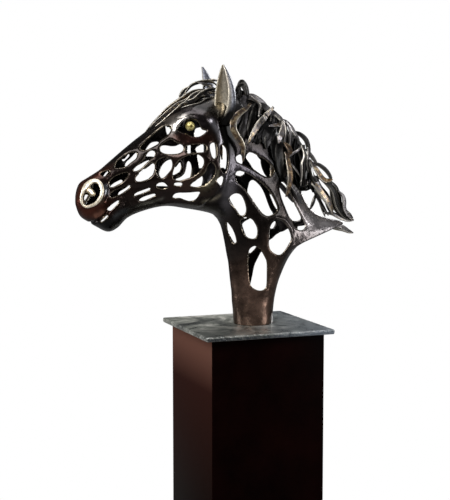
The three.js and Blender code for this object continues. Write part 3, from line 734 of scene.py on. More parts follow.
def pierced_shell(outer, inner, room):
    """Points and faces of a shell of two skins that meet at the rims, where room is nought, and
    which of all the points made are used. Triangles with one or two points in an opening are cut
    along the rim."""
    count = room.size
    index = np.arange(count).reshape(room.shape)
    a, b = index[:-1], index[1:]
    c, d = np.roll(b, -1, 1), np.roll(a, -1, 1)
    triangles = np.concatenate([np.stack([a, b, c], -1).reshape(-1, 3),
                                np.stack([a, c, d], -1).reshape(-1, 3)])
    flat = room.ravel()
    solid = flat > 0
    held = solid[triangles].sum(1)
    whole = triangles[held == 3]

    def turned(chosen, first):
        shift = np.argmax(first[chosen], 1)
        return np.stack([chosen[np.arange(len(chosen)), (shift + k) % 3] for k in range(3)], -1)

    tip = turned(triangles[held == 1], solid)
    base = turned(triangles[held == 2], ~solid)
    ends = np.concatenate([tip[:, [0, 1]], tip[:, [0, 2]], base[:, [0, 1]], base[:, [0, 2]]])
    keys = np.sort(ends, 1)
    unique, back = np.unique(keys[:, 0] * count + keys[:, 1], return_inverse=True)
    low, high = unique // count, unique % count
    share = (flat[low] / (flat[low] - flat[high]))[:, None]
    centre = ((outer + inner) / 2).reshape(-1, 3)
    rims = centre[low] * (1 - share) + centre[high] * share
    back = back.ravel() + 2 * count
    t1, t2 = back[:len(tip)], back[len(tip):2 * len(tip)]
    q1, q2 = back[2 * len(tip):2 * len(tip) + len(base)], back[2 * len(tip) + len(base):]
    points = np.concatenate([outer.reshape(-1, 3), inner.reshape(-1, 3), rims])
    faces = []
    for start, way in ((0, 1), (count, -1)):
        faces += (whole + start)[:, ::way].tolist()
        faces += np.stack([tip[:, 0] + start, t1, t2], -1)[:, ::way].tolist()
        faces += np.stack([q1, base[:, 1] + start, base[:, 2] + start, q2], -1)[:, ::way].tolist()
    foot = index[-1]
    following = np.roll(foot, -1)
    faces += np.stack([foot, foot + count, following + count, following], -1).tolist()
    nose = index[0]
    for start, way in ((0, 1), (count, -1)):
        faces.append((nose + start)[::-way].tolist())
    used = np.zeros(len(points), bool)
    used[np.concatenate([np.array(f) for f in faces])] = True
    renumber = np.cumsum(used) - 1
    return points[used], [[renumber[v] for v in f] for f in faces], used


points, faces, used = pierced_shell(outer_face, inner_face, room)
rim_points = len(used) - 2 * room.size
# Rims polished by rubbing, with a highlight painted along them, most at the rim itself
by_the_rim = np.exp(-np.maximum(room, 0).ravel() / 3)
polish = np.concatenate([by_the_rim, by_the_rim, np.ones(rim_points)])[used]
inside = np.concatenate([np.zeros(room.size), np.ones(room.size), np.full(rim_points, 0.3)])[used]

# The patina over the casting, with painted light and shade laid into its colour. Clouds: middle
# in profile, radii, colour, strength. Strokes along a line, where it is rubbed, where it lies dark,
# or where a highlight, sheen or shadow is painted: the line, half its width, colour, strength
patina_ground = "#1d1714"
clouds_of_patina_and_light = [
    (-520, 400, 75, 75, "#4a2114", 1.0), (-480, 455, 60, 40, "#2c1a14", 0.8),
    # Below: painted shade under the chin, near black, then the cheek's own brown
    (-462, 322, 80, 34, "#070707", 1.0), (-370, 440, 120, 60, "#241814", 0.8),
    (-220, 470, 90, 70, "#3a2822", 0.9), (-200, 580, 60, 22, "#3c2018", 0.8),
    # Below: the dome's own dark tone, then a painted highlight on the brow
    (-190, 640, 80, 40, "#241d1f", 0.9), (-250, 632, 34, 22, "#6a625a", 0.8),
    # Below: a painted lilac-grey reflection on the strip behind the jaw, then painted shadow,
    # black, in the valley behind the head
    (-88, 455, 26, 90, "#767278", 1.0), (-84, 590, 22, 90, "#030303", 1.0),
    # Below: a painted grey sheen on the neck, then the neck's own dark tone
    (-20, 490, 90, 50, "#4a464c", 0.9), (60, 420, 60, 70, "#2c2726", 0.7),
    # Below: painted grey sheen over the neck's rear strap, palest to the rear
    (150, 300, 40, 90, "#5a5250", 0.9), (190, 335, 60, 70, "#8d8686", 1.0),
    # Below: the last of that painted sheen, then the foot's own browns
    (270, 320, 90, 40, "#a5a0a2", 1.0), (10, 80, 60, 110, "#856a5c", 1.0),
    (-50, 60, 30, 120, "#5a483e", 0.9), (60, 150, 40, 120, "#5e4c42", 0.9),
    (-178, 450, 30, 30, "#57503c", 0.6),
]
strokes_of_patina_and_light = [
    # Painted highlight: a white flash along the brow
    ([(-268, 604), (-249, 622), (-234, 634), (-214, 643)], 9, "#fff8f0", 0.85),
    # Painted sheen along the dome's ridge
    ([(-229, 658), (-209, 665), (-191, 666), (-173, 657), (-155, 641)], 8, "#4a4346", 0.5),
    # Painted highlight down the dome's rear edge
    ([(-155, 641), (-141, 622), (-128, 598), (-120, 571), (-117, 540)], 7, "#a19ea6", 0.85),
    # Painted shadow, black, in the valley behind the head's rear edge
    ([(-154, 680), (-124, 655), (-103, 630), (-98, 589), (-97, 544), (-99, 500)], 11, "#020202",
     1.0),
    # Painted highlight on the upper lip
    ([(-502, 352), (-486, 358), (-470, 371)], 7, "#9a6a58", 0.7),
    # Painted sheen beside the nostril
    ([(-470, 447), (-465, 430), (-466, 413)], 7, "#7d8086", 0.8),
    ([(-522, 432), (-506, 422), (-492, 412), (-486, 404)], 11, "#efe0bd", 0.95),
    # Painted light: a red-brown line along the nose's front edge
    ([(-543, 392), (-540, 420), (-524, 450), (-490, 474), (-440, 502)], 9, "#66321c", 0.6),
    # Painted sheen on the chin
    ([(-447, 345), (-420, 362), (-385, 368)], 7, "#4a4e50", 0.7),
    # Painted highlight: a cream line round the jaw's rear corner
    ([(-174, 435), (-154, 446), (-139, 464), (-133, 491)], 4, "#9a947f", 0.8),
    # Painted shade, near black, on the neck under the mane
    ([(42, 556), (62, 520), (79, 474), (90, 431)], 16, "#050404", 1.0),
    # Painted highlight along the jaw's lower edge
    ([(-172, 389), (-146, 393), (-127, 399), (-110, 412)], 4.5, "#a09684", 0.85),
    # Painted sheen in lines along the lower jaw
    ([(-367, 380), (-336, 387), (-308, 392), (-289, 398), (-283, 405)], 4, "#77746c", 0.7),
    # Painted shade in the hollow between forelock, ear and dome
    ([(-204, 672), (-173, 671), (-147, 664), (-125, 652), (-109, 634)], 8, "#050404", 0.95),
    # Painted shade by the ear's foot
    ([(-166, 693), (-146, 687), (-130, 675)], 11, "#15110f", 0.9),
    ([(-116, 706), (-113, 684), (-110, 664)], 9, "#7a715f", 1.0),
    ([(-92, 704), (-94, 684), (-100, 664), (-108, 650)], 3.4, "#f6ead2", 1.0),
]


def washed(colour, tint, share):
    """Colours with a tint laid over them, by a share for each."""
    return colour * (1 - share[:, None]) + np.array(linear(tint)) * share[:, None]


def patina_and_light_at(points, ground, clouds, strokes):
    """Linear colour of the patina, with its painted light and shade, at points in mm: a ground
    with soft clouds and strokes.
    """
    colour = np.tile(linear(ground), (len(points), 1))
    for mid_x, mid_z, rx, rz, tint, strength in clouds:
        away = np.hypot((points[:, 0] - mid_x) / rx, (points[:, 2] - mid_z) / rz)
        colour = washed(colour, tint, strength * np.exp(-away ** 3))
    for line, half_width, tint, strength in strokes:
        away, along, _ = distance_to_line(points[:, 0], points[:, 2], line)
        colour = washed(colour, tint,
                        strength * np.exp(-(away / half_width) ** 2) * ends_fade(along))
    return colour


def casting(name, points, faces, **values):
    """A smooth mesh from points in mm above the plate, with the values that its finish reads."""
    mesh = bpy.data.meshes.new(name)
    mesh.from_pydata((points * mm + np.array([0, 0, foot_z])).tolist(), [], faces)
    keep_values(mesh, **values)
    mesh.shade_smooth()
    made = bpy.data.objects.new(name, mesh)
    bpy.context.scene.collection.objects.link(made)
    return made


# The shell's inside is painted darker, painted shade in the hollow, and the polish at its rims
# weaker
# The colour holds painted highlights, sheens and shadows beside the patina's own tones
patina = patina_and_light_at(points, patina_ground, clouds_of_patina_and_light, strokes_of_patina_and_light)
patina[:, :3] *= (1 - 0.75 * inside)[:, None]
shell = casting("horse_shell", points, faces, patina=patina, polish=polish * (1 - 0.6 * inside))

# Bronze under a dark waxed patina, with painted light and shade in its colour: metal, but dull
# where the wax lies thick and bright at the rims, where it is rubbed and a highlight is painted;
# grain of about 1 mm from the casting, drawn a little coarse
bronze, tree = finish_of("dark_waxed_bronze_patina")
place = node(tree, "ShaderNodeTexCoord")
patina_and_light_node = node(tree, "ShaderNodeAttribute", {"attribute_name": "patina"})
rim_polish_and_highlight_node = node(tree, "ShaderNodeAttribute", {"attribute_name": "polish"})
cloud = node(tree, "ShaderNodeTexNoise", {"Scale": 16, "Detail": 6, "Roughness": 0.62},
             {"Vector": place.outputs["Object"]})
depth_of_tone = node(tree, "ShaderNodeMapRange",
                     {"From Min": 0.3, "From Max": 0.7, "To Min": 0.45, "To Max": 1.35},
                     {"Value": cloud.outputs["Fac"]})
tone = node(tree, "ShaderNodeVectorMath", {"operation": "SCALE"},
            {"Vector": patina_and_light_node.outputs["Color"], "Scale": depth_of_tone.outputs["Result"]})
worn = node(tree, "ShaderNodeMapRange", {"From Min": 0.35, "To Max": 0.62},
            {"Value": rim_polish_and_highlight_node.outputs["Fac"]})
# Rubbed rims: cream gold, partly real polish and partly a painted highlight
rubbed = node(tree, "ShaderNodeMix", {"data_type": "RGBA", 7: linear("#c0b29a")},
              {0: worn.outputs["Result"], 6: tone.outputs["Vector"]})
speck = node(tree, "ShaderNodeTexNoise", {"Scale": 220, "Detail": 3},
             {"Vector": place.outputs["Object"]})
modelling = node(tree, "ShaderNodeTexNoise", {"Scale": 34}, {"Vector": place.outputs["Object"]})
waves = node(tree, "ShaderNodeBump", {"Strength": 0.5, "Distance": 0.006},
             {"Height": modelling.outputs["Fac"]})
bump = node(tree, "ShaderNodeBump", {"Strength": 0.22, "Distance": 0.0006},
            {"Height": speck.outputs["Fac"], "Normal": waves.outputs["Normal"]})
gloss = node(tree, "ShaderNodeMapRange",
             {"From Min": 0.3, "From Max": 0.7, "To Min": 0.16, "To Max": 0.36},
             {"Value": cloud.outputs["Fac"]})
metal = node(tree, "ShaderNodeBsdfPrincipled",
             {"Metallic": 0.85, "Coat Weight": 0.12, "Coat Roughness": 0.12},
             {"Base Color": rubbed.outputs[2], "Roughness": gloss.outputs["Result"],
              "Normal": bump.outputs["Normal"]})
node(tree, "ShaderNodeOutputMaterial", links={"Surface": metal.outputs[0]})


def part_of_the_casting(piece, finish):
    """Joins a piece to the casting, under its own finish."""
    piece.data.materials.append(finish)
    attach(piece, "root")


part_of_the_casting(shell, bronze)
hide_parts("horse")


# Nostril rims: a raised oval collar of bronze round each nostril, part of the casting, broad in
# front and above and narrow behind and below, polished through its patina to a cream gold.
nostril_outer = [(81.2, 191.5), (83.4, 185.3), (88.2, 180.4), (94.5, 178.4), (100.2, 180.7),
                 (103.7, 186.2), (104.1, 191.9), (101.9, 199.2), (96.4, 204.9), (88.2, 208.1),
                 (82.6, 206), (80, 200)]
nostril_inner = [(84.4, 192.3), (87.2, 189.6), (90.2, 186), (93.3, 182.6), (97.9, 183.8),
                 (99.9, 187.6), (100.6, 191.7), (98.8, 197.6), (94.2, 202.8), (88.2, 205.4),
                 (84.2, 204.6), (82.3, 199.4)]
nostril_roll = 8.5
nostril_tilt = 0.1
nostril_sides = 16
evening_rounds = 8
far_sunk = 3.0
both_sides = ((-1, "near"), (1, "far"))
to_far_side = np.array([1, -1, 1])


def ring_faces(rings, sides, joined):
    """Faces of a tube of rings, whose last ring is joined to the first or whose ends are shut."""
    index = np.arange(rings * sides).reshape(rings, sides)
    a = index if joined else index[:-1]
    b = np.roll(index, -1, 0) if joined else index[1:]
    faces = np.stack([a, np.roll(a, -1, 1), np.roll(b, -1, 1), b], -1).reshape(-1, 4).tolist()
    if not joined:
        faces += [index[0][::-1].tolist(), index[-1].tolist()]
    return faces


def band(route, outward, width, thickness, twist, sides, joined=False, dish=0.0):
    """Points and faces of a band along a route, its flat side turned outward and then twisted,
    and dished across; also where each point lies across it, from -1 to 1."""
    if joined:
        along = unit(np.roll(route, -1, 0) - np.roll(route, 1, 0))
    else:
        along = unit(np.gradient(route, axis=0))
    outward = unit(outward - (outward * along).sum(-1, keepdims=True) * along)
    across = np.cross(along, outward)
    turn = np.broadcast_to(twist, len(route))[:, None]
    flat = across * np.cos(turn) + outward * np.sin(turn)
    up = outward * np.cos(turn) - across * np.sin(turn)
    angle = 2 * math.pi * np.arange(sides) / sides
    u = np.sign(np.cos(angle)) * np.abs(np.cos(angle)) ** 0.8
    v = np.sign(np.sin(angle)) * np.abs(np.sin(angle)) ** 0.9
    half_width = np.broadcast_to(width, len(route))[:, None, None] / 2
    half_thickness = np.broadcast_to(thickness, len(route))[:, None, None] / 2
    dished = v[:, None] * half_thickness + dish * (u[:, None] ** 2 - 0.5) * half_width
    points = route[:, None] + flat[:, None] * u[:, None] * half_width + up[:, None] * dished
    faces = ring_faces(len(route), sides, joined)
    return points.reshape(-1, 3), faces, np.tile(u, len(route))


near_points = skin[:, 1:half_columns].reshape(-1, 3)
near_normals = normals[:, 1:half_columns].reshape(-1, 3)


def nearest(places, xs, ys):
    """Which of the places lies nearest to each point."""
    return [np.argmin((places[:, 0] - a) ** 2 + (places[:, 1] - b) ** 2) for a, b in zip(xs, ys)]


# Bronze rubbed bare and polished: cream gold with a soft shine, browner in pits of some 8 mm
rubbed_gold, tree = finish_of("rubbed_bronze_cream_gold")
place = node(tree, "ShaderNodeTexCoord")
pits = node(tree, "ShaderNodeTexNoise", {"Scale": 120, "Detail": 6, "Roughness": 0.7},
            {"Vector": place.outputs["Object"]})
tone = node(tree, "ShaderNodeValToRGB", {"stops": [(0.3, "#a08560"), (0.55, "#fbf2de")]},
            {"Fac": pits.outputs["Fac"]})
bump = node(tree, "ShaderNodeBump", {"Strength": 0.3, "Distance": 0.0006},
            {"Height": pits.outputs["Fac"]})
metal = node(tree, "ShaderNodeBsdfPrincipled", {"Metallic": 0.5, "Roughness": 0.34},
             {"Base Color": tone.outputs["Color"], "Normal": bump.outputs["Normal"]})
node(tree, "ShaderNodeOutputMaterial", links={"Surface": metal.outputs[0]})

collar_outside, collar_inside = closed_curve(nostril_outer, 7), closed_curve(nostril_inner, 7)
collar_middle = (collar_outside + collar_inside) / 2
on_skin = nearest(np.stack(as_seen(near_points)[:2], -1), *collar_middle.T)
spots, out = near_points[on_skin], near_normals[on_skin]
for _ in range(evening_rounds):
    spots, out = ((np.roll(v, 1, 0) + 2 * v + np.roll(v, -1, 0)) / 4 for v in (spots, out))
width = np.hypot(*(collar_outside - collar_inside).T) * as_seen(spots)[2] / focal_pixels + 1
for side, label in both_sides:
    if side > 0:
        spots, out = (spots - far_sunk * out) * to_far_side, out * to_far_side
    points, faces, _ = band(spots, out, width, nostril_roll, nostril_tilt * side, nostril_sides,
                            joined=True)
    part_of_the_casting(casting("nostril_rim_" + label, points, faces), rubbed_gold)


# Eyes: a ball of yellow brass held in each almond opening by cast lids, with a ring and a pupil
# sunk in its face. A thin cup of the casting closes the socket behind it.
ring_turn, ring_half, ring_sunk = 0.75, 0.09, 0.05
pupil_half, pupil_sunk = 0.32, 0.08
socket_radius = 0.024
socket_wall = 0.003
socket_behind, socket_above = 0.006, 0.002
lid_in_front, lid_below, lid_behind = 0.004, 0.004, 0.013

# Polished brass: clear yellow with a sharp glint, stained browner in spots of about 1 cm, with
# an olive pupil and ring
eye_gold, tree = finish_of("polished_yellow_brass")
place = node(tree, "ShaderNodeTexCoord")
stain = node(tree, "ShaderNodeTexNoise", {"Scale": 90, "Detail": 5, "Roughness": 0.65},
             {"Vector": place.outputs["Object"]})
pupil_node = node(tree, "ShaderNodeAttribute", {"attribute_name": "pupil"})
tone = node(tree, "ShaderNodeValToRGB", {"stops": [(0.35, "#8f7c34"), (0.6, "#f2e6a0")]},
            {"Fac": stain.outputs["Fac"]})
dark = node(tree, "ShaderNodeMix", {"data_type": "RGBA", 7: linear("#5a4a14")},
            {0: pupil_node.outputs["Fac"], 6: tone.outputs["Color"]})
metal = node(tree, "ShaderNodeBsdfPrincipled", {"Metallic": 0.55, "Roughness": 0.28},
             {"Base Color": dark.outputs[2]})
node(tree, "ShaderNodeOutputMaterial", links={"Surface": metal.outputs[0]})

for eye_name, (side, label) in zip(("left_eye", "right_eye"), both_sides):
    low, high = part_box(eye_name)
    middle = (low + high) / 2
    radius = (high.z - low.z) / 2
    bpy.ops.object.select_all(action="DESELECT")
    bpy.ops.mesh.primitive_uv_sphere_add(segments=48, ring_count=32, radius=radius,
                                         location=middle, rotation=(math.pi / 2, 0, 0))
    ball = bpy.context.object
    ball.name = "brass_eye_" + label
    bpy.ops.object.transform_apply(location=True, rotation=True)
    stained = []
    for v in ball.data.vertices:
        aside = math.acos(max(-1, min(1, (v.co.y - middle.y) * side / radius)))
        ring = math.exp(-((aside - ring_turn) / ring_half) ** 2)
        hole = math.exp(-(aside / pupil_half) ** 4)
        stained.append(min(1, 0.3 * ring + hole))
        v.co = middle + (v.co - middle) * (1 - ring_sunk * ring - pupil_sunk * hole)
    keep_values(ball.data, pupil=stained)
    bpy.ops.object.shade_smooth()
    ball.data.materials.append(eye_gold)
    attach(ball, "root")
    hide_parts(eye_name)

    bpy.ops.object.select_all(action="DESELECT")
    bpy.ops.mesh.primitive_uv_sphere_add(
        segments=40, ring_count=24, radius=socket_radius,
        location=middle + Vector((0, -side * socket_behind, socket_above)))
    socket = bpy.context.object
    socket.name = "eye_socket_" + label
    bpy.ops.object.transform_apply(location=True)
    bpy.ops.object.mode_set(mode="EDIT")
    bpy.ops.mesh.select_all(action="DESELECT")
    bpy.ops.mesh.select_mode(type="FACE")
    bpy.ops.object.mode_set(mode="OBJECT")
    for face in socket.data.polygons:
        spot = face.center - middle
        face.select = spot.y * side > lid_in_front or spot.z < -lid_below or spot.x > lid_behind
    bpy.ops.object.mode_set(mode="EDIT")
    bpy.ops.mesh.delete(type="FACE")
    bpy.ops.object.mode_set(mode="OBJECT")
    wall_of_socket = socket.modifiers.new("wall", "SOLIDIFY")
    wall_of_socket.thickness = socket_wall
    bpy.ops.object.modifier_apply(modifier="wall")
    # The cup is painted near black: painted shade deep in the socket
    keep_values(socket.data, patina=np.tile(linear("#120d0b"), (len(socket.data.vertices), 1)))
    bpy.ops.object.shade_smooth()
    part_of_the_casting(socket, bronze)


# Ears: two pricked leaves of bronze, cast with the head, each rolled into a cup that opens
# forward and outward; the lips are rubbed bright and the cup inside is pitted and beige.
ear_foot = np.array([-102, -64, 618])
ear_tip = np.array([-112.5, -90, 796.5])
ear_facing = unit(np.array([-0.9, -0.43, 0.0]))
ear_half_width = 33.0
ear_depth = 27.0
ear_thickness = 6.0
ear_bow = 9.0
ear_rows = 56
ear_steps = 30
ear_widths = ([0, 0.12, 0.35, 0.55, 0.75, 0.9, 1], [0.6, 0.8, 1.0, 0.93, 0.64, 0.32, 0.05])
ear_wraps = ([0, 0.14, 0.3, 0.5, 1], [168, 140, 126, 120, 112])

# Bronze left rough and worn half bare: beige in the cup, blue grey on its back, with pits of
# about 5 mm that hold dirt
ear_bronze, tree = finish_of("pitted_beige_bronze")
place = node(tree, "ShaderNodeTexCoord")
patina_and_light_node = node(tree, "ShaderNodeAttribute", {"attribute_name": "patina"})
pits = node(tree, "ShaderNodeTexNoise", {"Scale": 150, "Detail": 6, "Roughness": 0.75},
            {"Vector": place.outputs["Object"]})
depth_of_tone = node(tree, "ShaderNodeMapRange",
                     {"From Min": 0.3, "From Max": 0.65, "To Min": 0.4, "To Max": 1.25},
                     {"Value": pits.outputs["Fac"]})
tone = node(tree, "ShaderNodeVectorMath", {"operation": "SCALE"},
            {"Vector": patina_and_light_node.outputs["Color"], "Scale": depth_of_tone.outputs["Result"]})
bump = node(tree, "ShaderNodeBump", {"Strength": 0.55, "Distance": 0.001},
            {"Height": pits.outputs["Fac"]})
metal = node(tree, "ShaderNodeBsdfPrincipled", {"Metallic": 0.75, "Roughness": 0.4},
             {"Base Color": tone.outputs["Vector"], "Normal": bump.outputs["Normal"]})
node(tree, "ShaderNodeOutputMaterial", links={"Surface": metal.outputs[0]})

rise = np.linspace(0, 1, ear_rows)
spread = np.convolve(np.pad(np.interp(rise, *ear_widths), 3, "edge"), np.ones(7) / 7, "valid")
open_to = np.radians(np.interp(rise, *ear_wraps))
back = -ear_facing
across = np.cross([0, 0, 1], ear_facing)
middle = ear_foot + (ear_tip - ear_foot) * rise[:, None]
middle = middle + ear_bow * np.sin(math.pi * rise)[:, None] * back
rings = []
for k in range(ear_rows):
    phi = np.linspace(-1, 1, ear_steps) * open_to[k]
    arc = (back * np.cos(phi)[:, None] * ear_depth * spread[k]
           + across * np.sin(phi)[:, None] * ear_half_width * spread[k])
    wall_here = unit(arc) * min(ear_thickness, 0.8 * ear_depth * spread[k]) / 2
    lip = unit(np.gradient(arc, axis=0))[[0, -1]] * np.array([[-1], [1]]) * ear_thickness / 3
    rings.append(middle[k] + np.concatenate([
        arc + wall_here, arc[-1:] + lip[1:], (arc - wall_here)[::-1], arc[:1] + lip[:1]]))
points = np.concatenate(rings)
round_it = 2 * ear_steps + 2
faces = ring_faces(ear_rows, round_it, joined=False)

# Beige inside and grey behind, bright along the lips, and painted shade that darkens it towards
# the foot
place_round = np.tile(np.arange(round_it), ear_rows)
height = np.repeat(rise, round_it)
in_cup = (place_round > ear_steps).astype(float)
from_lip = np.minimum(np.abs(place_round - ear_steps),
                      np.minimum(place_round + 1, round_it - 1 - place_round)) / ear_steps
on_lip = np.exp(-(from_lip / 0.07) ** 2) * (1 - 0.5 * height)
bright = np.maximum(in_cup, on_lip)
# Painted shade: darkening at the foot, where the ear meets the head
painted_shade_at_foot = np.clip((0.38 - 0.21 * bright - height) / (0.16 - 0.1 * bright), 0, 1)
colour = np.tile(linear("#787a84"), (len(points), 1))
for tint, share in (("#c8bfae", in_cup), ("#f6ead2", on_lip), ("#0c0a09", painted_shade_at_foot)):
    colour = washed(colour, tint, share)
for side, label in both_sides:
    if side < 0:
        ear = casting("ear_" + label, points, [f[::-1] for f in faces], patina=colour)
    else:
        ear = casting("ear_" + label, points * to_far_side, faces, patina=colour)
    part_of_the_casting(ear, ear_bronze)


# Mane and forelock: flat locks of bronze that hang in waves over both sides of the neck, stand
# up along the crest and arch over the forehead, all fused into the casting. Most are near black;
# their edges are worn to cream and carry a painted highlight, and some of their faces are worn to
# a brown gold.
mane_fall = [(-60, 712, -88, 640), (-22, 716, -75, 584), (12, 700, -36, 566), (60, 666, 25, 560),
             (113, 628, 62, 536), (150, 596, 88, 480), (188, 548, 116, 440), (212, 495, 160, 425),
             (240, 447, 215, 398), (272, 405, 262, 372)]
lock_rings = 40
lock_sides = 14
lock_dish = 0.3
neck_core = 9.0
mane_right_limit = 370.0

# Bronze locks, waxed near black: soft sheen in shades from black to grey, faces worn to a mottled
# brown gold in patches of about 1 cm, and edges rubbed to cream with breaks in the rubbing, the
# cream partly a painted highlight
mane_bronze, tree = finish_of("dark_bronze_locks_with_worn_edges")
place = node(tree, "ShaderNodeTexCoord")
gild_node = node(tree, "ShaderNodeAttribute", {"attribute_name": "gild"})
shade_node = node(tree, "ShaderNodeAttribute", {"attribute_name": "shade"})
edge_wear_and_highlight_node = node(tree, "ShaderNodeAttribute", {"attribute_name": "worn"})
cloud = node(tree, "ShaderNodeTexNoise", {"Scale": 75, "Detail": 6, "Roughness": 0.7},
             {"Vector": place.outputs["Object"]})
dark = node(tree, "ShaderNodeValToRGB", {"stops": [(0, "#080707"), (1, "#8d898c")]},
            {"Fac": shade_node.outputs["Fac"]})
gold = node(tree, "ShaderNodeValToRGB",
            {"stops": [(0.34, "#2e1a10"), (0.52, "#7a5c3c"), (0.68, "#d9c8a4")]},
            {"Fac": cloud.outputs["Fac"]})
patchy = node(tree, "ShaderNodeMapRange",
              {"From Min": 0.36, "From Max": 0.62, "To Min": -0.3, "To Max": 0.3},
              {"Value": cloud.outputs["Fac"]})
wear = node(tree, "ShaderNodeMath", {"operation": "ADD", "use_clamp": True},
            {0: gild_node.outputs["Fac"], 1: patchy.outputs["Result"]})
worn_through = node(tree, "ShaderNodeMapRange", {"From Min": 0.3, "From Max": 0.75},
                    {"Value": wear.outputs[0]})
tone = node(tree, "ShaderNodeMix", {"data_type": "RGBA"},
            {0: worn_through.outputs["Result"], 6: dark.outputs["Color"],
             7: gold.outputs["Color"]})
broken = node(tree, "ShaderNodeMapRange", {"From Min": 0.36, "From Max": 0.5, "To Min": 0.45},
              {"Value": cloud.outputs["Fac"]})
edge_share = node(tree, "ShaderNodeMath", {"operation": "MULTIPLY", "use_clamp": True},
                  {0: edge_wear_and_highlight_node.outputs["Fac"], 1: broken.outputs["Result"]})
edged = node(tree, "ShaderNodeMix", {"data_type": "RGBA", 7: linear("#e6dfd0")},
             {0: edge_share.outputs[0], 6: tone.outputs[2]})
bump = node(tree, "ShaderNodeBump", {"Strength": 0.45, "Distance": 0.0014},
            {"Height": cloud.outputs["Fac"]})
metal = node(tree, "ShaderNodeBsdfPrincipled",
             {"Metallic": 0.85, "Roughness": 0.3, "Coat Weight": 0.06, "Coat Roughness": 0.15},
             {"Base Color": edged.outputs[2], "Normal": bump.outputs["Normal"]})
node(tree, "ShaderNodeOutputMaterial", links={"Surface": metal.outputs[0]})

# The locks that show singly on the neck's side. In each table a row gives a lock's width and
# thickness, its lift off the skin or its place across, twist at root and tip, gilding at root and
# tip, shade, worn edge with its painted highlight (above nought the front one, below the rear
# one), and its run in profile
side_locks = [
    (21, 9, 26, -0.25, -0.35, 0.55, 0.6, 0.3, -1, [(2, 679), (-27, 664), (-52, 653), (-73, 638),
     (-84, 619), (-82, 601), (-71, 583), (-59, 568), (-51, 552), (-49, 534), (-48, 509)]),
    (21, 9, 27, 0.15, 0.1, 0.2, 0.4, 0.35, 0.7, [(78, 670), (53, 646), (18, 626), (-4, 605),
     (-19, 582), (-31, 561)]),
    (15, 9, 26, 0.3, 0.5, 0, 0, 0.65, 0.3, [(0, 706), (21, 685), (31, 667), (19, 640)]),
    (11, 7, 29, 0, 0, 0.35, 0.45, 0.6, 0.2, [(54, 613), (66, 613), (84, 613), (110, 609)]),
    (21, 10, 27, 0.2, -0.2, 0.1, 0.3, 1, 0.5, [(108, 626), (105, 610), (98, 592), (87, 576),
     (84, 560)]),
    (14, 9, 20, 0.1, 0.1, 0.05, 0.05, 0.7, 0.4, [(113, 630), (118, 608), (117, 584), (111, 550)]),
    (14, 9, 21, 0.1, 0.1, 0.05, 0.05, 0.65, -0.4, [(122, 626), (132, 602), (132, 571),
     (137, 536)]),
    (24, 9, 27, 0.1, 0.1, 0.66, 0.66, 0.3, 0.1, [(110, 562), (121, 540), (124, 518)]),
    (23, 9, 26, 0, 0.2, 0.62, 0.6, 0.5, 0.4, [(110, 534), (113, 495), (115, 464), (112, 433),
     (104, 397)]),
    (8, 6, 26, 0, 0.3, 0.05, 0.1, 0.8, 0.5, [(173, 546), (149, 533), (120, 518)]),
    (8, 6, 25, 0.2, 0.3, 0, 0, 0.75, 0.5, [(117, 507), (140, 481), (170, 455)]),
    (18, 9, 13, 0.3, -0.3, 0, 0, 0.35, -0.3, [(114, 445), (135, 426), (156, 400), (172, 372)]),
    (12, 9, 27, 0.5, 0.5, 0, 0, 0.9, 0.5, [(172, 552), (177, 521), (167, 493), (170, 461),
     (169, 428)]),
]
# Broad dark locks that fill the mane behind those
side_fill = [
    (38, 12, 4, 0.2, -0.1, 0, 0, 0, 0, [(-40, 700), (-55, 658), (-53, 628), (-63, 592)]),
    (40, 12, 6, 0.1, 0.3, 0, 0, 0.05, -0.07, [(-8, 690), (-13, 658), (-31, 621), (-46, 591),
     (-42, 562)]),
    (40, 12, 5, 0.2, 0.2, 0, 0, 0.05, 0.05, [(30, 690), (18, 658), (0, 630), (-12, 600),
     (-10, 566)]),
    (44, 12, 6, 0.2, 0.3, 0, 0, 0, -0.1, [(51, 668), (42, 640), (30, 612), (17, 585), (10, 560)]),
    (40, 12, 7, -0.2, 0.2, 0, 0, 0.05, 0.07, [(76, 656), (80, 625), (58, 592), (45, 566),
     (40, 545)]),
    (38, 12, 4, 0.2, 0.2, 0, 0, 0, 0, [(96, 640), (92, 600), (72, 562), (68, 530), (76, 505)]),
    (34, 12, 6, 0.1, -0.2, 0, 0, 0, -0.07, [(100, 590), (90, 550), (86, 500), (96, 450)]),
    (34, 12, 8, 0.2, 0.3, 0, 0, 0.05, 0.07, [(128, 600), (138, 566), (134, 530), (140, 490),
     (146, 455)]),
    (34, 12, 6, 0.1, 0.2, 0, 0, 0, 0, [(160, 575), (158, 540), (156, 500), (160, 455),
     (168, 420)]),
    (32, 12, 8, 0.2, 0.2, 0, 0, 0.05, -0.07, [(186, 555), (187, 514), (188, 470), (196, 415)]),
    (30, 12, 6, 0.2, 0.2, 0, 0, 0, 0.05, [(205, 510), (212, 470), (222, 440), (232, 412)]),
]
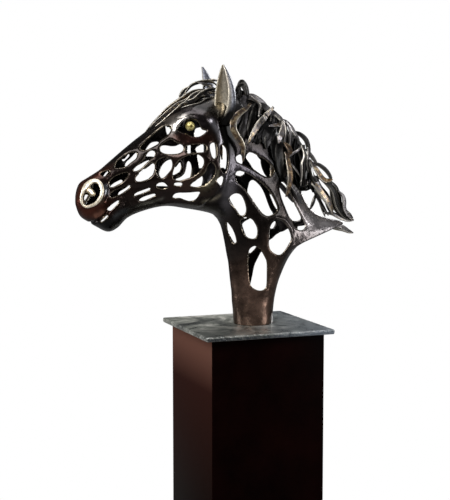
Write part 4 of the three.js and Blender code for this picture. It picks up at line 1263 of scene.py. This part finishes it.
# Locks along the crest, from the poll down to the tail that streams out behind the neck
crest_locks = [
    (12, 9, -14, 0.4, 0.2, 0, 0, 0.02, 0.2, [(-44, 700), (-29, 737), (-16, 731), (-6, 707),
     (-3, 680)]),
    (12, 8, -20, 0.2, 0.6, 0, 0, 0.02, -0.15, [(-48, 690), (-36, 735), (-32, 710), (-41, 682),
     (-44, 655)]),
    (12, 8, -6, 0.5, 0, 0, 0, 0.05, 0.3, [(-40, 705), (-24, 748), (-9, 743), (1, 719), (4, 690)]),
    (24, 10, 0, 0.2, 0.4, 0.1, 0.1, 0.5, 0.3, [(-16, 694), (12, 704), (38, 692), (61, 674),
     (74, 652)]),
    (17, 9, -8, 0.4, 0.2, 0, 0.1, 0.1, 0.6, [(50, 668), (76, 661), (96, 646), (113, 630),
     (118, 600)]),
    (16, 9, -6, 0.4, 0.2, 0.05, 0.05, 0.35, 0.5, [(104, 622), (120, 630), (140, 616), (158, 593),
     (177, 569)]),
    (16, 12, 0, 0.1, 0.1, 0, 0, 0.04, 0.25, [(148, 596), (163, 594), (183, 586), (202, 567),
     (210, 536), (208, 505)]),
    (30, 12, -8, 0.2, 0.2, 0, 0, 0.02, 0.2, [(143, 612), (157, 577), (174, 545), (188, 514),
     (192, 471), (196, 423)]),
    (15, 8, -12, 0.4, 0.2, 0.05, 0.05, 0.9, 0.6, [(205, 548), (205, 528), (203, 510), (206, 480),
     (226, 448), (250, 412), (275, 374)]),
    (13, 10, 4, 0.1, 0.1, 0.05, 0.05, 0.1, 0.5, [(200, 540), (207, 536), (224, 516), (242, 492)]),
    (19, 8, -16, 0.4, 0.3, 0.2, 0.95, 0.3, 0.6, [(212, 508), (229, 478), (247, 453), (266, 442),
     (292, 444)]),
    (14, 11, 4, 0.1, 0.1, 0, 0, 0.04, 0.3, [(214, 500), (232, 495), (250, 490), (274, 472),
     (289, 447), (280, 425)]),
    (22, 15, -24, 0.1, 0.2, 0.45, 0.5, 1, 2.4, [(196, 434), (214, 436), (230, 422), (248, 398),
     (268, 375), (284, 352), (291, 334)]),
    (12, 8, -2, 0.3, 0.3, 0, 0.05, 0.15, -0.4, [(222, 424), (228, 412), (244, 384), (261, 358),
     (280, 330)]),
    (14, 8, -8, 0.4, 0.2, 0, 0.1, 0.05, 0.45, [(262, 444), (285, 431), (294, 408), (295, 386),
     (307, 358), (336, 330), (369, 315)]),
    (14, 10, 6, 0.2, 0.2, 0, 0.1, 0, 0.3, [(278, 446), (307, 421), (321, 389), (328, 357),
     (357, 333), (368, 320)]),
    (10, 7, -2, 0.3, 0.3, 0, 0.1, 0.1, 0.6, [(278, 436), (286, 412), (290, 384), (300, 352),
     (330, 326), (360, 318)]),
    (16, 9, -4, 0.2, 0.2, 0, 0.1, 0.3, 0.6, [(250, 322), (288, 304), (328, 292), (350, 280),
     (366, 272)]),
    (15, 9, -8, 0.3, 0.3, 0, 0.1, 0.35, 0.7, [(262, 338), (290, 336), (315, 325), (345, 314),
     (369, 312)]),
    (12, 8, -6, 0.2, 0.2, 0, 0, 0.05, 0.3, [(236, 402), (229, 388), (221, 366), (215, 350)]),
    (12, 8, 8, 0.2, 0.2, 0, 0.1, 0.2, 0.5, [(238, 412), (250, 390), (262, 352), (270, 326)]),
    (20, 10, -18, 0.3, 0.2, 0, 0, 0, 0.25, [(238, 456), (270, 430), (289, 405), (297, 376),
     (306, 355), (329, 329), (357, 313)]),
    (15, 9, 8, 0.3, 0.3, 0, 0, 0, 0.25, [(282, 444), (301, 425), (313, 405), (316, 382),
     (313, 360), (332, 334)]),
    (15, 9, -6, 0.2, 0.3, 0, 0.05, 0.4, 0.3, [(314, 408), (328, 393), (333, 376), (333, 354),
     (345, 332), (366, 316)]),
    (26, 10, 6, 0.2, 0.2, 0, 0, 0, 0, [(236, 456), (250, 419), (275, 387), (286, 354),
     (300, 329)]),
    (20, 11, -4, 0.2, 0.2, 0, 0.05, 0.06, 0.5, [(258, 303), (302, 293), (329, 287), (350, 278),
     (368, 272)]),
]
# The forelock's tangle over the forehead
forelock = [
    (11, 8, 0, 0.3, 0.4, 0.2, 0.2, 0.08, 0.35, [(-98, 738), (-110, 746), (-127, 751), (-146, 749),
     (-166, 744), (-182, 736), (-193, 724), (-206, 708)]),
    (11, 8, 32, 0.2, 0.2, 0.1, 0.2, 0.3, 0.4, [(-84, 750), (-95, 754), (-109, 753), (-126, 747),
     (-146, 742)]),
    (9, 8, -12, 0.3, 0.2, 0.2, 0.2, 0.2, 0.3, [(-162, 746), (-150, 743), (-138, 739), (-122, 733),
     (-105, 719)]),
    (12, 8, -2, 0.3, 0.3, 0.3, 0.6, 0.1, 0.6, [(-100, 716), (-118, 721), (-133, 722), (-159, 722),
     (-179, 717), (-198, 707), (-217, 694), (-243, 679), (-265, 662), (-287, 642)]),
    (15, 8, -14, 0.3, 0.1, 0.3, 0.3, 0.2, 0.3, [(-104, 712), (-122, 715), (-145, 713), (-168, 707),
     (-190, 697), (-209, 687), (-231, 678), (-251, 664), (-273, 646), (-295, 628), (-317, 607)]),
    (12, 8, -22, 0.3, 0.2, 0.2, 0.4, 0.1, 0.5, [(-108, 702), (-128, 704), (-148, 703), (-170, 694),
     (-193, 684), (-215, 681), (-231, 668), (-250, 652), (-275, 631), (-304, 607), (-331, 584)]),
    (13, 8, -34, 0.3, 0.3, 0, 0.05, 0.12, 0.3, [(-108, 698), (-120, 697), (-143, 694), (-165, 681),
     (-191, 675), (-216, 668), (-237, 654)]),
    (12, 8, -40, 0.3, 0.3, 0, 0, 0.15, 0.15, [(-106, 680), (-123, 682), (-148, 680), (-178, 672)]),
    (15, 7, 14, 0.5, 0.6, 0.1, 0.1, 1, 0.9, [(-178, 736), (-186, 731), (-199, 722), (-211, 709),
     (-220, 696)]),
    (13, 8, -16, 0.2, 0.2, 0.3, 0.3, 0.25, 0.5, [(-246, 642), (-262, 632), (-280, 619),
     (-305, 600), (-330, 580), (-349, 564)]),
    (10, 8, 8, 0.3, 0.3, 0, 0.1, 0.1, 0.4, [(-200, 706), (-222, 694), (-246, 674), (-272, 650),
     (-300, 624), (-326, 598)]),
    (7, 7, 18, 0, 0.2, 0, 0, 0.15, 0.2, [(-127, 746), (-129, 741), (-134, 730), (-137, 718)]),
    (11, 8, 26, 0.3, 0.2, 0.05, 0.05, 0.1, 0.3, [(-98, 716), (-126, 722), (-158, 720), (-184, 708),
     (-212, 690), (-240, 668), (-270, 640)]),
    (14, 8, -30, 0.5, -0.3, 0.1, 0.1, 0.1, 0.4, [(-106, 728), (-134, 724), (-160, 712),
     (-182, 694), (-206, 684), (-226, 664)]),
    (12, 8, -26, -0.4, 0.5, 0.2, 0.2, 0.2, 0.5, [(-112, 690), (-136, 708), (-162, 716),
     (-190, 704), (-214, 678), (-240, 662)]),
]


def smooth_route(stops, count):
    """Even points on a smooth curve through stops in the middle plane."""
    stops = np.array([(a, 0, b) for a, b in stops], float)
    held = np.concatenate([2 * stops[:1] - stops[1:2], stops, 2 * stops[-1:] - stops[-2:-1]])
    t = np.linspace(0, len(stops) - 1.001, 14 * len(stops))
    i = t.astype(int)
    line = curve(*(held[i + k] for k in range(4)), (t - i)[:, None])
    at = evenly_along(count, np.linalg.norm(np.diff(line, axis=0), axis=1))
    return np.stack([np.interp(at, np.arange(len(line)), c) for c in line.T], -1)


def on_the_skin(px, pz, lift):
    """Points at places in profile, lifted off the near skin, and the skin's direction there;
    beyond the outline they stay a core's half thickness from the middle plane."""
    under = nearest(near_points[:, [0, 2]], px, pz)
    out = unit(near_normals[under] + np.array([0, -0.6, 0]))
    y = -np.hypot(near_points[under, 1], neck_core)
    y = np.convolve(np.pad(y, 2, "edge"), [0.1, 0.2, 0.4, 0.2, 0.1], "valid")
    return np.stack([px, y, pz], -1) + out * lift[:, None] * np.array([0.3, 1, 0.3]), out


def lock(spots, out, width, thickness, twists, gilds, shade, worn):
    """One lock's points, faces and values: widest in its middle, drawn out to its ends."""
    share = np.linspace(0, 1, len(spots))
    full = np.sin(math.pi * share) ** 0.5
    size = np.maximum(full, np.where(share < 0.5, 0.45, 0.2))
    twist = twists[0] + (twists[1] - twists[0]) * share
    points, faces, u = band(spots, out, width * size, thickness * np.maximum(size, 0.5), twist,
                            lock_sides, dish=lock_dish)
    gild = gilds[0] + (gilds[1] - gilds[0]) * np.repeat(share, lock_sides)
    # The edges' cream: worn bronze with a painted highlight
    rubbed_and_highlit_edge = abs(worn) * (np.clip(np.sign(worn) * u, 0, 1) ** 3 + 0.4 * np.abs(u) ** 6)
    return points, faces, gild, np.full(len(points), float(shade)), rubbed_and_highlit_edge


def gathered(name, locks):
    """Locks joined into one piece of the casting."""
    starts = np.cumsum([0] + [len(made[0]) for made in locks])
    faces = [[v + start for v in face] for start, made in zip(starts, locks) for face in made[1]]
    points, gild, shade, worn = (np.concatenate([made[k] for made in locks]) for k in (0, 2, 3, 4))
    points[:, 0] = np.minimum(points[:, 0], mane_right_limit)
    piece = casting(name, points, faces, gild=np.clip(gild, 0, 1), shade=shade,
                    worn=np.clip(worn, 0, 1))
    part_of_the_casting(piece, mane_bronze)


def lying(row, side):
    """A lock that lies over the neck's side."""
    width, thickness, lift, twist_a, twist_b, gild_a, gild_b, shade, worn, stops = row
    route = smooth_route(stops, lock_rings)
    lifts = lift * (0.55 + 0.45 * np.sin(math.pi * np.linspace(0, 1, lock_rings)))
    spots, out = on_the_skin(route[:, 0], route[:, 2], lifts)
    if side > 0:
        spots, out = spots * to_far_side, out * to_far_side
    return lock(spots, out, width, thickness, (side * -twist_a, side * -twist_b), (gild_a, gild_b),
                shade, -side * worn)


def standing(row):
    """A lock that stands in or beside the middle plane; its lift is its place across."""
    width, thickness, across, twist_a, twist_b, gild_a, gild_b, shade, worn, stops = row
    route = smooth_route(stops, lock_rings)
    share = np.linspace(0.12, 0.92, lock_rings)
    route[:, 1] = across * np.sin(math.pi * share)
    out = np.tile([0.0, -1.0, 0.0], (lock_rings, 1))
    return lock(route, out, width, thickness, (twist_a, twist_b), (gild_a, gild_b), shade, worn)


# The mass between them: like locks in a seeded scatter, which leave the gaps of the mane open.
# A gap is a round place in the middle plane, in mm: middle and radius
look_through_slope = 0.38
look_down_slope = 0.1
lock_scatter = np.random.default_rng(7)
mane_gaps = [(188, 563, 9), (227, 501, 15), (246, 478, 13), (262, 462, 12), (135, 599, 6),
             (322, 385, 14), (206, 388, 18), (226, 378, 24), (252, 372, 22), (262, 345, 22),
             (262, 315, 10)]


def clear_of_gaps(made):
    """Whether a lock leaves every gap open, as the camera looks through the mane."""
    spots = made[0]
    seen_x = spots[:, 0] - look_through_slope * spots[:, 1]
    seen_z = spots[:, 2] + look_down_slope * spots[:, 1]
    return all(np.hypot(seen_x - a, seen_z - b).min() > r for a, b, r in mane_gaps)


def scattered(side, count):
    """Locks from the crest down to the lower edge of the mane's mass, in waves."""
    locks = []
    for k in range(count):
        draw = lock_scatter.random(10)
        place_along = np.clip((k + draw[0]) / count, 0, 1) * (len(mane_fall) - 1)
        fall = np.array([np.interp(place_along, np.arange(len(mane_fall)), column)
                         for column in zip(*mane_fall)])
        top, foot = fall[:2], fall[2:]
        foot = top + (foot - top) * (0.7 + 0.35 * draw[1]) + np.array([26, 0]) * (draw[2] - 0.5)
        step = np.linspace(0.04, 1, 8)
        wave = (6 + 9 * draw[3]) * np.sin(2 * math.pi * (step * (0.6 + 0.6 * draw[4]) + draw[5]))
        drop = unit(foot - top)
        px = top[0] + (foot - top)[0] * step - drop[1] * wave
        pz = top[1] + (foot - top)[1] * step + drop[0] * wave
        row = (24 + 12 * draw[6], 10 + 3 * draw[7], 4 + 6 * draw[8], 0.6 * draw[3] - 0.3,
               0.7 * draw[9] - 0.35, 0, 0, 0.3 * draw[7] ** 3, 0, list(zip(px, pz)))
        locks.append(lying(row, side))
    return [made for made in locks if clear_of_gaps(made)]


crest_places, curled_places = 200, 160


def curls(count):
    """Short locks that rise over the crest's outline and fall back."""
    tops = smooth_route([(a, b) for a, b, _, _ in mane_fall], crest_places)
    locks = []
    for k in range(count):
        draw = lock_scatter.random(8)
        start = (k + 0.6 * draw[0]) / count * curled_places
        span = 18 + 18 * draw[1]
        at = np.clip(start + span * np.array([0, 0.4, 1, 1.5]), 0, crest_places - 1)
        line = tops[at.astype(int)]
        px = line[:, 0] + np.array([-12, 1, 0, -14]) - 3 + 4 * draw[2]
        pz = line[:, 2] + np.array([-14, 2, -1, -16]) - 3 + 4 * draw[2]
        row = (18 + 8 * draw[3], 10, 34 * draw[4] - 17, 0.5 * draw[5], 0.5 * draw[6], 0.0,
               0.1 * draw[7], 0.3 * draw[5] ** 2, 0.4 * draw[1] - 0.2, list(zip(px, pz)))
        locks.append(standing(row))
    return [made for made in locks if clear_of_gaps(made)]


scattered_count, curl_count = 14, 14
gathered("mane_near", [lying(row, -1) for row in side_locks])
gathered("mane_far", [lying(row, 1) for row in side_locks])
gathered("mane_mass_near", [lying(row, -1) for row in side_fill] + scattered(-1, scattered_count))
gathered("mane_mass_far", [lying(row, 1) for row in side_fill] + scattered(1, scattered_count))
gathered("mane_crest", [standing(row) for row in crest_locks] + curls(curl_count))
gathered("forelock", [standing(row) for row in forelock])
